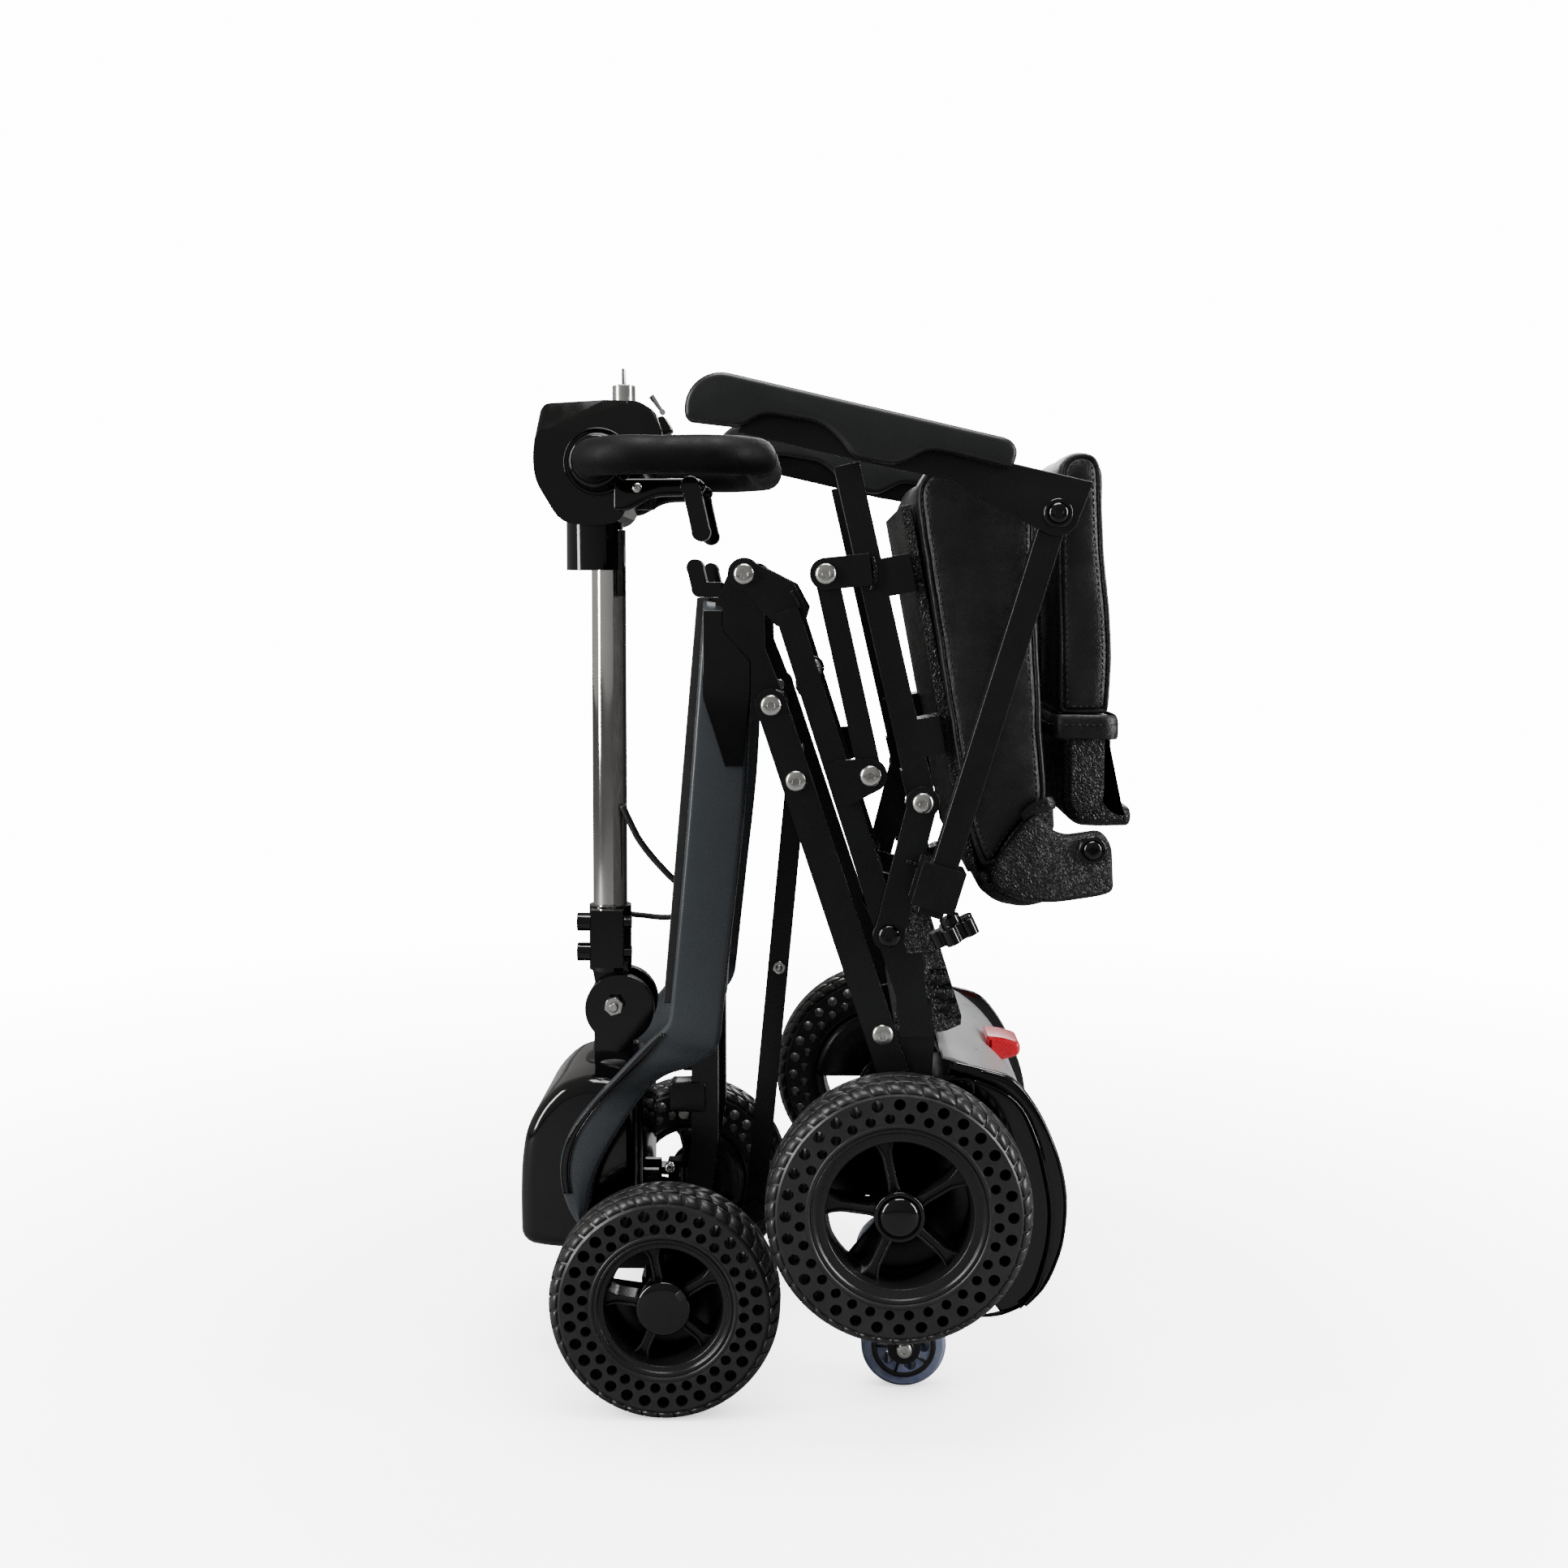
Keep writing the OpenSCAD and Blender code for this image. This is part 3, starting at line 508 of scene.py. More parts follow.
def plank(stations, side, radius, crown):
    """A rounded plank with a crowned outer face, swept through stations of (left x, left z, right x, right z, inner y,
    outer y)."""
    rows = []
    for lx, lz, rx, rz, y0, y1 in between(stations):
        width = math.hypot(rx - lx, rz - lz)
        r = min(radius, width * 0.45, (y1 - y0) * 0.45)
        s = min(1.6, r)
        ring = []
        corners = ((s, y0 + s, s, 180), (width - s, y0 + s, s, 270), (width - r, y1 - crown - r, r, 0),
                   (r, y1 - crown - r, r, 90))
        for cx, cy, turn, a0 in corners:
            if a0 == 90:  # the crowned face, between its two corners
                ring += [(width - r - (width - 2 * r) * t, y1 - crown * (2 * t - 1) ** 2)
                         for t in (0.15, 0.32, 0.5, 0.68, 0.85)]
            ring += [polar((cx, cy), turn, a0 + k * 18) for k in range(6)]
        rows.append([(lx + (rx - lx) * u / width, side * y, lz + (rz - lz) * u / width) for u, y in ring])
    return skin(rows)


def socket_bolt(name, centre, y, side, r, slot, body, height=3.2, hexagon=2.9):
    """A button-head bolt with a hexagon socket; its seat is at y."""
    steps = 48
    profile = [(r, y - 0.3), (r, y + height * 0.25), (r * 0.93, y + height * 0.6), (r * 0.76, y + height * 0.87),
               (r * 0.55, y + height), (r * 0.46, y + height)]
    verts, faces = revolve(profile, centre, side, steps)
    faces.append(tuple(range(steps)))
    last = (len(profile) - 1) * steps
    for depth in (0.0, height * 0.75):
        base = len(verts)
        for k in range(steps):
            a = 2 * math.pi * k / steps
            s = (a + math.pi / 6) % (math.pi / 3) - math.pi / 6
            h = hexagon / math.cos(s)
            verts.append(around(centre, side, h, y + height - depth, a))
        for k in range(steps):
            k2 = (k + 1) % steps
            faces.append((last + k, last + k2, base + k2, base + k))
        last = base
    faces.append(tuple(last + k for k in range(steps)))
    return soften(piece(name, verts, faces, slot, body), 0.25, 1, 50.0, weld=False)


# ---- CAD parts
FINE = {"ignition_key": 0.3, "key_switch": 0.5, "tie_rod": 0.4, "column_tube": 0.5, "speed_dial": 0.8}
for node_name, ob in NODES.items():
    ob.data.materials.clear()
    ob.data.materials.append(MATERIALS[SLOT_OF[node_name]])
    if not node_name.endswith(("tyre_left", "tyre_right")) and node_name != "handlebar":
        soften(ob, FINE.get(node_name, 1.0))


# ---- bolts
PIVOTS = {
    "beam_pivot": (-49, 668.5), "link_pivot": (-27.5, 566.5), "link_rod": (-8, 507.5),
    "link_end": (60, 308), "rocker_pivot": (64.5, 387), "seat_pivot": (90.5, 491), "strut_top": (15, 668.5),
    "strut_end": (50, 512), "arm_pivot": (188, 713.5), "back_pivot": (220.5, 456), "tilt_pivot": (-167, 296.7),
}
BOLTS = [  # name, pivot, seat y, radius, slot, body
    ("beam_pivot_bolt", "beam_pivot", 158.4, 8.3, "bolt_steel", "deck"),
    ("link_pivot_bolt", "link_pivot", 172.7, 8.3, "bolt_steel", "deck"),
    ("link_rod_bolt", "link_rod", 172.4, 8.3, "bolt_steel", "links"),
    ("link_end_nut", "link_end", 172.4, 8.3, "bolt_steel", "links"),
    ("brace_top_bolt", "strut_top", 176.8, 8.3, "bolt_steel", "seat"),
    ("brace_end_bolt", "strut_end", 176.9, 8.3, "bolt_steel", "rear_frame"),
    ("seat_pivot_bolt", "seat_pivot", 179.1, 8.3, "bolt_steel", "seat"),
    ("rocker_pivot_bolt", "rocker_pivot", 179.1, 8.6, "black_gloss", "rear_frame"),
    ("arm_pivot_bolt", "arm_pivot", 221.0, 7.6, "black_gloss", None),  # None: the armrest of its own side
    ("back_pivot_bolt", "back_pivot", 187.4, 7.4, "black_gloss", "seat"),
]
for name, pivot, y, r, slot, body in BOLTS:
    for tag, side in SIDES:
        rides = body or f"arm_{tag[0]}"
        socket_bolt(f"{name}_{tag}", PIVOTS[pivot], y, side, r, slot, rides)
        if r < 8:
            profile = [(r + 3.2, y - 0.4), (r + 3.2, y + 0.5), (r + 2.4, y + 1.1), (r + 0.6, y + 1.1),
                       (r + 0.2, y + 0.4)]
            piece(f"{name}_washer_{tag}", *capped(profile, PIVOTS[pivot], side), "black_gloss", rides)


# ---- wheels
def tread(name, centre, r, w, y_in, side, body, count):
    """Raised tread: a middle row of slanted blocks and shoulder blocks that wrap round onto the wall."""
    profile = [(r - 7, 1.8), (r - 3, 5), (r - 1.5, 8.5), (r, 12), (r, w / 2), (r, w - 12), (r - 1.5, w - 8.5),
               (r - 3, w - 5), (r - 7, w - 1.8)]
    line = np.array(profile, float)
    length = np.r_[0, np.cumsum(np.hypot(*np.diff(line, axis=0).T))]
    tangent = np.gradient(line, axis=0)
    normal = np.c_[-tangent[:, 1], tangent[:, 0]]
    normal /= np.hypot(normal[:, 0], normal[:, 1])[:, None]
    if normal[4, 0] < 0:
        normal = -normal
    verts, faces = [], []

    def place(u, s, lift):
        pr = np.interp(s, length, line[:, 0]) + lift * np.interp(s, length, normal[:, 0])
        py = np.interp(s, length, line[:, 1]) + lift * np.interp(s, length, normal[:, 1])
        return around(centre, side, pr, y_in + py, u / r)

    def block(u0, u1, s0, s1, skew, lift):
        base = len(verts)
        cols, rows = 3, 4
        for level, inset in ((-0.6, 0.0), (lift * 0.7, 0.05), (lift, 0.35)):
            for j in range(rows):
                for i in range(cols):
                    s = s0 + inset + (s1 - s0 - 2 * inset) * j / (rows - 1)
                    u = u0 + inset + (u1 - u0 - 2 * inset) * i / (cols - 1) + skew * (s - s0)
                    verts.append(place(u, s, level))
        size = cols * rows
        ring = [j * cols for j in range(rows)] + [(rows - 1) * cols + i for i in range(1, cols)]
        ring += [j * cols + cols - 1 for j in reversed(range(rows - 1))] + list(reversed(range(1, cols - 1)))
        for level in range(2):
            low = base + level * size
            for a, b in zip(ring, ring[1:] + ring[:1]):
                faces.append((low + a, low + b, low + size + b, low + size + a))
        for j in range(rows - 1):
            for i in range(cols - 1):
                a = base + 2 * size + j * cols + i
                faces.append((a, a + 1, a + cols + 1, a + cols))

    total = length[-1]
    pitch = 2 * math.pi * r / count
    for k in range(count):
        u = k * pitch
        block(u, u + pitch * 0.86, 0.4, 9.4, 0.4, 1.4)
        block(u + pitch * 0.45, u + pitch * 1.37, 10.6, total / 2 - 0.7, 0.5, 1.2)
        block(u, u + pitch * 0.92, total / 2 + 0.7, total - 10.6, -0.5, 1.2)
        block(u + pitch * 0.45, u + pitch * 1.31, total - 9.4, total - 0.4, -0.4, 1.4)
    piece(name, verts, faces, "tyre_rubber", body)


FIRST_SPOKE = 102  # degrees from the tail, over the top


def spokes(centre, side, inner, outer, y0, y1, depth):
    """Five channel-shaped spokes that widen where they meet the rim."""
    parts = []
    for i in range(5):
        a = math.radians(FIRST_SPOKE + i * 72)
        ca, sa = math.cos(a), math.sin(a)
        rows = []
        for t in np.linspace(0, 1, 15):
            q = inner + (outer - inner) * t
            half = 3.7 + 4.8 * max(0, (t - 0.6) / 0.4) ** 2 + 2.0 * max(0, (0.22 - t) / 0.22) ** 2
            web = half - 1.9
            y = y0 + (y1 - y0) * t
            ring = ((-half, -depth), (-half, 0), (-web, 0), (-web, -3), (web, -3), (web, 0), (half, 0), (half, -depth))
            rows.append([(centre[0] + q * ca - v * sa, side * (y + dy), centre[1] + q * sa + v * ca) for v, dy in ring])
        parts.append(skin(rows))
    return parts


def wheel_trim(tag, side, end, centre, r, w, rim_r, ring_in, y_in, cap, count):
    """Tread, tyre bead, rim with spokes and hub cap of one wheel, on the CAD tyre."""
    body = f"{end}_wheel_{tag[0]}"
    out = y_in + w
    tread(f"{end}_tread_{tag}", centre, r, w, y_in, side, body, count)
    wall = [(rim_r + 0.4, out - 3.6), (rim_r + 1.2, out - 1.2), (rim_r + 3.0, out - 0.2), (rim_r + 4.6, out - 0.9),
            (rim_r + 4.8, out - 2.6)]
    piece(f"{end}_tyre_bead_{tag}", *revolve(wall, centre, side, 96), "tyre_rubber", body)
    half = [(rim_r - 0.4, 6), (rim_r + 0.9, 2.4), (rim_r + 0.4, 1.1), (rim_r - 1.2, 0.8), (rim_r - 2.3, 1.6),
            (rim_r - 3.2, 2.9), (ring_in + 2.2, 3.1), (ring_in + 0.8, 3.5), (ring_in, 4.8), (ring_in - 0.6, 8.5),
            (ring_in - 2.6, w / 2)]
    barrel = [(q, out - d) for q, d in half] + [(q, y_in + d) for q, d in reversed(half[:-1])]
    core = cap[0][0] - 2
    hub = [(core, out - 5), (core, out - 14), (core - 1.5, y_in + 16), (core - 2.5, y_in + 4), (core - 4, y_in + 2.4),
           (9, y_in + 2.4)]
    arms = spokes(centre, side, core - 2, ring_in + 0.5, out - 8, out - 11, w - 24)
    shell = merge(revolve(barrel + barrel[:1], centre, side, 96), capped(hub, centre, side), *arms)
    soften(piece(f"{end}_rim_shell_{tag}", *shell, "rim_plastic", body, replaces=(f"{end}_rim_{tag}",)), 0.5, 2, 34.0)
    piece(f"{end}_hub_cap_{tag}", *capped([(q, out + d) for q, d in cap], centre, side, 72), "black_gloss", body)
    if end == "front":
        u, v = polar((0, 0), 1, 38)
        corners = ((14.5, -4), (21, -4), (21, 4), (14.5, 4))
        notch = [(centre[0] + q * u - h * v, centre[1] + q * v + h * u) for q, h in corners]
        piece(f"front_cap_notch_{tag}", *slab(rounded(notch, 2.0), side, out - 2, out + 1.3, 0.4, 1.0, 2),
              "tyre_rubber", body)


FRONT_CAP = [(21.6, -12), (21.6, -1.4), (20.8, -0.2), (19.2, 0.5), (15, 1.2), (8, 1.7), (0.4, 1.8)]
REAR_CAP = [(19.4, -14), (19.4, -1.2), (18.8, -0.3), (16.7, -0.2), (15.9, -0.9), (15.7, -2.2), (15.4, -1.2),
            (14.7, 0.8), (12.4, 2.3), (9, 3.3), (5, 3.9), (0.4, 4.1)]
WHEELS = (  # end, axis, tyre radius, tyre width, rim radius, inner radius of the rim, inner y, hub cap, tread blocks
    ("front", FRONT_WHEEL, 91, 44, 54.5, 47, 138, FRONT_CAP, 42),
    ("rear", REAR_WHEEL, 101.5, 48, 67, 56.5, 181, REAR_CAP, 46))


def shield(name, centre, side, radius, y, gap, body):
    """A dished plate behind a wheel, cut away over the gap (first and last angle)."""
    profile = ((10, 0), (radius - 6, 0), (radius, 2.4), (radius, 3.8), (radius - 7, 1.6), (10, 1.6))
    rows = []
    for k in range(49):
        a = math.radians(gap[1] + (360 - gap[1] + gap[0]) * k / 48)
        rows.append([around(centre, side, q, y + d, a) for q, d in profile])
    piece(name, *skin(rows), "black_satin", body)


for tag, side in SIDES:
    shield(f"front_wheel_shield_{tag}", FRONT_WHEEL, side, 51, 133, (104, 172), f"knuckle_{tag[0]}")
    shield(f"rear_wheel_shield_{tag}", REAR_WHEEL, side, 63, 176, (180, 230), "rear_frame")
    for wheel in WHEELS:
        wheel_trim(tag, side, *wheel)
    face = [(26.5, 114.4), (25.0, 115.6), (23.0, 115.9), (21.6, 114.6)]
    piece(f"trolley_rim_ring_{tag}", *revolve(face, TROLLEY_WHEEL, side), "rim_plastic", f"trolley_{tag[0]}")
    ribs = []
    for i in range(5):
        line = [polar(TROLLEY_WHEEL, q, i * 72 + 36) for q in (5.5, 12, 22.5)]
        ribs.append(tube([(x, side * 115.0, z) for x, z in line], 1.2, 6))
    piece(f"trolley_rim_ribs_{tag}", *merge(*ribs), "rim_plastic", f"trolley_{tag[0]}")
    socket_bolt(f"trolley_axle_bolt_{tag}", TROLLEY_WHEEL, 123.6, side, 6.4, "bolt_steel", "rear_frame", 2.6, 2.3)


# ---- soft parts
CLOTH_VOXEL, CLOTH_FRAMES = 5.0, 20


def inflate(ob, pins, pressure, cap):
    """Swells a padded piece by cloth simulation between its held seams, and keeps the result as its mesh."""
    scene = bpy.context.scene
    for o in bpy.context.selected_objects:
        o.select_set(False)
    r = ob.modifiers.new("remesh", "REMESH")
    r.mode, r.voxel_size, r.use_smooth_shade = "VOXEL", CLOTH_VOXEL * MM, True
    dg = bpy.context.evaluated_depsgraph_get()
    base = bpy.data.meshes.new_from_object(ob.evaluated_get(dg))
    ob.modifiers.clear()
    ob.data = base
    start = np.array([v.co for v in base.vertices], float)
    held = ob.vertex_groups.new(name="held")
    for seam, reach in pins:
        s = np.array(seam, float) * MM
        near = np.full(len(start), 1e9)
        for i in range(0, len(s), 64):
            near = np.minimum(near, np.linalg.norm(start[:, None, :] - s[None, i:i + 64, :], axis=2).min(1))
        for i in np.nonzero(near < reach * MM)[0]:
            held.add([int(i)], 1.0, "REPLACE")
    c = ob.modifiers.new("cloth", "CLOTH")
    for key, value in dict(quality=5, mass=0.35, tension_stiffness=12, compression_stiffness=12, shear_stiffness=6,
                           bending_stiffness=2.5, use_pressure=True, uniform_pressure_force=pressure,
                           vertex_group_mass="held").items():
        setattr(c.settings, key, value)
    c.settings.effector_weights.gravity = 0
    c.collision_settings.use_collision = False
    c.point_cache.frame_start, c.point_cache.frame_end = 1, CLOTH_FRAMES
    for f in range(1, CLOTH_FRAMES + 1):
        scene.frame_set(f)
    dg = bpy.context.evaluated_depsgraph_get()
    moved = bpy.data.meshes.new_from_object(ob.evaluated_get(dg))
    ob.modifiers.clear()
    now = np.array([v.co for v in moved.vertices], float)
    step = now - start
    size = np.linalg.norm(step, axis=1)
    scale = np.minimum(1.0, cap * MM / np.maximum(size, 1e-9))
    now = start + step * scale[:, None]
    base.vertices.foreach_set("co", now.astype(np.float32).ravel())
    base.update()
    scene.frame_set(1)
    ob.vertex_groups.clear()
    return ob


def finish_pad(ob, rough, scale, seed):
    """Evens the remeshed skin, adds soft unevenness along the normals, and subdivides once."""
    bm = bmesh.new()
    bm.from_mesh(ob.data)
    for _ in range(2):
        bmesh.ops.smooth_vert(bm, verts=bm.verts, factor=0.5, use_axis_x=True, use_axis_y=True, use_axis_z=True)
    bm.normal_update()
    for v in bm.verts:
        p = v.co * scale + Vector((seed, seed * 0.7, -seed))
        v.co += v.normal * (rough * MM * noise.noise(p))
    bm.to_mesh(ob.data)
    bm.free()
    s = ob.modifiers.new("fine", "SUBSURF")
    s.levels = s.render_levels = 1
    smooth_shade(ob)
    return ob


def surface_at(ob, points, lift):
    """Each point moved onto the nearest surface of a piece, lifted along its normal, in millimetres."""
    bpy.context.view_layer.update()
    out = []
    for q in points:
        hit, place, normal, _ = ob.closest_point_on_mesh(Vector(q) * MM)
        out.append(tuple((place + normal * lift * MM) / MM) if hit else tuple(q))
    return out


def stitches(name, path, body, slot, length=2.6, gap=1.9, radius=0.42):
    """A run of thread stitches along a path."""
    p = [Vector(q) for q in path]
    d = [0.0]
    for a, b in zip(p, p[1:]):
        d.append(d[-1] + (b - a).length)

    def at(s):
        for i in range(len(p) - 1):
            if d[i + 1] >= s:
                t = (s - d[i]) / max(d[i + 1] - d[i], 1e-6)
                return p[i].lerp(p[i + 1], t)
        return p[-1]

    parts, s = [], gap
    while s + length < d[-1]:
        parts.append(tube([at(s), at(s + length * 0.5), at(s + length)], radius, 5))
        s += length + gap
    if parts:
        piece(name, *merge(*parts), slot, body)


def padded_prism(name, outline, half, edge, slot, body, replaces, seams, pressure, cap, seed):
    """A cushion as wide as twice half, made a little small and then inflated between its seams."""
    inset = 2.0
    pts = resample(outline, 5.0)
    pts = [tuple(q) for q in pts - outward(pts) * inset]
    verts, faces = loft(pts, inset - half, half - inset, edge, 5.0, 5, 24)
    ob = piece(name, verts, faces, slot, body, replaces=replaces)
    inflate(ob, seams, pressure, cap)
    dress(ob, slot, body)
    return finish_pad(ob, 0.9, 22.0, seed)


SEAT_OUTLINE = rounded([(82, 720), (81, 738), (94, 755), (112, 758), (170, 755.5), (182, 744), (180.5, 673),
                        (184.2, 579), (190.5, 492), (184, 481), (169, 468), (156, 448), (150, 437), (135, 437.5),
                        (122, 470)], [4, 12, 12, 14, 14, 14, 60, 60, 8, 10, 20, 14, 3, 3, 20], 6)
BACK_OUTLINE = rounded([(193.6, 556), (239.5, 556), (242, 612), (233.5, 700), (232.6, 752), (226, 765), (206, 767),
                        (193, 756), (190.6, 700)], [2, 2, 60, 60, 12, 12, 12, 14, 60], 6)
SEAT_HALF, BACK_HALF = 178, 167


def side_seam(outline, y, inset):
    """The outline drawn in by inset, as a line on the side face at y."""
    p = resample(outline, 3.0)
    q = p - outward(p) * inset
    return [(x, y, z) for x, z in q]


seat_sides = {s: side_seam(SEAT_OUTLINE, s * (SEAT_HALF - 4), 4.0) for s in (-1, 1)}
front_line = ((180.0, 735), (179.2, 700), (180.0, 660), (182.0, 620), (183.5, 580), (186, 540), (188.4, 505))
seat_channels = [spline([(x, y, z) for x, z in front_line], 3.0) for y in (-72, 72)]
seat_cross = [[(181.4, y, 640) for y in np.linspace(-172, 172, 90)]]
seat_cushion = padded_prism(
    "seat_cushion_leather", SEAT_OUTLINE, SEAT_HALF, 12, "black_leather", "seat", ("seat_cushion",),
    [(seat_sides[-1], 4.5), (seat_sides[1], 4.5)] + [(c, 4.5) for c in seat_channels + seat_cross], 4.0, 5.5, seed=3.1)
back_sides = {s: side_seam(BACK_OUTLINE, s * (BACK_HALF - 3), 3.0) for s in (-1, 1)}
front_line = ((191.3, 745), (190.6, 700), (191.5, 640), (192.6, 600), (193.4, 570))
back_channels = [spline([(x, y, z) for x, z in front_line], 3.0) for y in (-62, 62)]
back_cushion = padded_prism(
    "backrest_leather", BACK_OUTLINE, BACK_HALF, 11, "black_leather", "back", ("backrest_cushion",),
    [(back_sides[-1], 4.5), (back_sides[1], 4.5)] + [(c, 4.5) for c in back_channels], 4.0, 4.5, seed=8.6)


def welt(name, ob, path, body, radius):
    """A closed leather-covered piping cord sewn along a seam."""
    on = surface_at(ob, path, 0.6)
    n = len(on)
    on = [tuple(np.mean([on[(i + k) % n] for k in (-2, -1, 0, 1, 2)], axis=0)) for i in range(n)]
    piece(name, *tube(on, radius, 10, True), "black_leather", body)


CUSHIONS = (  # body, piece, outline, half width, seam inset across and inwards, piping radius, stitch inset, channels
    ("seat", seat_cushion, SEAT_OUTLINE, SEAT_HALF, 3.0, 3.2, 2.1, 9.0, seat_channels + seat_cross),
    ("back", back_cushion, BACK_OUTLINE, BACK_HALF, 2.5, 2.8, 1.9, 8.0, back_channels))
for tag, side in SIDES:
    for body, pad, outline, half, across, inwards, radius, stitch_in, _ in CUSHIONS:
        welt(f"{body}_piping_{tag}", pad, side_seam(outline, side * (half - across), inwards), body, radius)
        row = surface_at(pad, side_seam(outline, side * (half + 2), stitch_in), 0.25)
        stitches(f"{body}_side_stitches_{tag}", row + row[:1], body, "cable_sheath", 3.0, 2.0, 0.38)
for body, pad, *_, channels in CUSHIONS:
    for k, c in enumerate(channels):
        stitches(f"{body}_channel_stitches_{k + 1}", surface_at(pad, c, 0.3), body, "cable_sheath")

# Stitched hem round the foot of the backrest cover
hem_line = rounded([(192.0, -168.4), (241.6, -168.4), (241.6, 168.4), (192.0, 168.4)], 12, 8)
hem_line = resample(hem_line, 4.0)
hem_out = outward(hem_line)
verts, faces = [], []
profile = [(0.0, 541.0), (1.6, 540.0), (2.4, 542.0), (2.6, 548.5), (2.3, 555.0), (1.2, 558.0), (0.0, 559.0)]
rng = random.Random(5)
wobble = [rng.uniform(-0.35, 0.35) for _ in range(len(hem_line))]
for i, (q, n) in enumerate(zip(hem_line, hem_out)):
    wob = sum(wobble[(i + k) % len(wobble)] for k in range(-3, 4)) / 3
    for lift, z in profile:
        verts.append((q[0] + n[0] * lift, q[1] + n[1] * lift, z + wob))
k = len(profile)
for i in range(len(hem_line)):
    j = (i + 1) % len(hem_line)
    faces += [(i * k + m, j * k + m, j * k + m + 1, i * k + m + 1) for m in range(k - 1)]
piece("backrest_hem", verts, faces, "black_leather", "back")
row = [(q[0] + n[0] * 2.75, q[1] + n[1] * 2.75, 551.5) for q, n in zip(hem_line, hem_out)]
stitches("backrest_hem_stitches", row + row[:1], "back", "rim_plastic", 3.4, 2.0, 0.42)

# Armrest pads: skinned foam mouldings clipped over the armrest plates
PAD_OUTLINE = [(152.6, 745.6)] + arc(143.5, 756.5, 12.5, 0, 76, 5) + arc(-63, 790, 27, 76, 196, 12) + [(-49.3, 777.9),
    (-31.1, 787.5), (10.8, 780.2), (24.7, 768.7), (34.5, 754.8), (66.6, 748.1), (89.6, 759.6), (103.5, 758.3)]
PAD_ROUND = [4] + [2] * 6 + [3] * 13 + [3, 10, 12, 10, 8, 8, 8, 8]
for tag, side in SIDES:
    verts, faces = loft(rounded(PAD_OUTLINE, PAD_ROUND), *sorted((side * 196.4, side * 235.6)), 4.5, 3.0, 5, extra=6)
    pad = piece(f"armrest_pad_skin_{tag}", verts, faces, "arm_pad", f"arm_{tag[0]}", replaces=(f"armrest_pad_{tag}",))

# Padded loop handlebar: a foam sleeve with softly uneven walls
LOOP = []
for cx, cy, a0 in ((-131, -95, 180), (-85, -95, 270), (-85, 95, 0), (-131, 95, 90)):
    LOOP += [polar((cx, cy), 45, a0 + t) for t in np.linspace(0, 90, 14)]
LOOP = resample(LOOP, 4.0)
verts, faces = tube([(x, y, 763.0) for x, y in LOOP], 15.6, 20, closed=True)
verts = [tuple(Vector(v) + Vector((0, 0, 0.5 * noise.noise(Vector(v) * 0.03)))) for v in verts]
bar = piece("handlebar_foam", verts, faces, "foam_grip", "column", replaces=("handlebar",))
for tag, side in SIDES:
    ring = revolve([(15.2, 63.5), (18.4, 64.0), (18.9, 66.0), (18.9, 71.5), (18.2, 73.0), (15.4, 73.4)],
                   HANDLEBAR_AXIS, side)
    piece(f"handlebar_sleeve_end_{tag}", *ring, "foam_grip", "column")


# ---- control head
def hull_piece(name, points, slot, body, width, segments, replaces):
    """The convex hull of points, with its edges rounded."""
    bm = bmesh.new()
    for p in points:
        bm.verts.new([c * MM for c in p])
    bmesh.ops.convex_hull(bm, input=bm.verts)
    bmesh.ops.delete(bm, geom=[v for v in bm.verts if not v.link_faces], context="VERTS")
    bmesh.ops.dissolve_limit(bm, angle_limit=math.radians(3), verts=bm.verts, edges=bm.edges)
    bmesh.ops.bevel(bm, geom=list(bm.edges), offset=width * MM, segments=segments, profile=0.5, affect="EDGES",
                    clamp_overlap=True)
    bmesh.ops.recalc_face_normals(bm, faces=bm.faces)
    data = bpy.data.meshes.new(name)
    bm.to_mesh(data)
    bm.free()
    ob = dress(bpy.data.objects.new(name, data), slot, body, replaces)
    n = ob.modifiers.new("shade", "WEIGHTED_NORMAL")
    n.weight = 60
    return ob


lower = rounded([(-231, 768), (-229, 748), (-207, 711), (-157, 711), (-147, 738), (-134, 764), (-132, 782),
                 (-228, 792)], 14, 4)
upper = rounded([(-227, 806), (-210, 740), (-150, 740), (-121, 786), (-129, 807), (-143, 815.5), (-170, 816.5),
                 (-222, 813.5)], 5, 3)
head_points = [(x, s * 52, z) for x, z in lower for s in (-1, 1)] + [(x, s * 39, z) for x, z in upper for s in (-1, 1)]
head_points += [(x, s * 46, z - 1) for x, z in upper for s in (-1, 1) if z < 800]
hull_piece("head_shell", head_points, "black_gloss", "column", 2.4, 2, ("head_housing",))
for tag, side in SIDES:
    ring = capped([(26, 40), (25.5, 55), (24, 62), (22.4, 68), (21.6, 71), (20.4, 72.2), (17.6, 72.2), (17.0, 70.5),
                   (16.6, 62)], HANDLEBAR_AXIS, side, 72)
    piece(f"head_socket_{tag}", *ring, "black_gloss", "column")
    groove = revolve([(27.2, 52.4), (28.2, 53.4), (28.9, 52.2), (28.4, 50)], HANDLEBAR_AXIS, side, 72)
    piece(f"head_socket_ring_{tag}", *groove, "black_gloss", "column")
    outline = [(-162, 749), (-90, 749), (-84, 742), (-90, 735), (-128, 734), (-150, 722), (-162, 722)]
    bracket = slab(rounded(outline, [2, 6, 8, 6, 8, 8, 2]), side, 47, 60.4, 2.0, 3.0, 4)
    piece(f"lever_bracket_{tag}", *bracket, "black_gloss", "column")
    socket_bolt(f"lever_bracket_bolt_{tag}", (-142, 741), 60.2, side, 4.2, "bolt_steel", "column", 2.0, 1.5)
parting = [(x, 39 + (816 - z) * 0.5 * 13 / 28, z) for x, z in ((-152, 816.2), (-154, 806), (-160, 798), (-171, 792),
                                                               (-186, 786))]
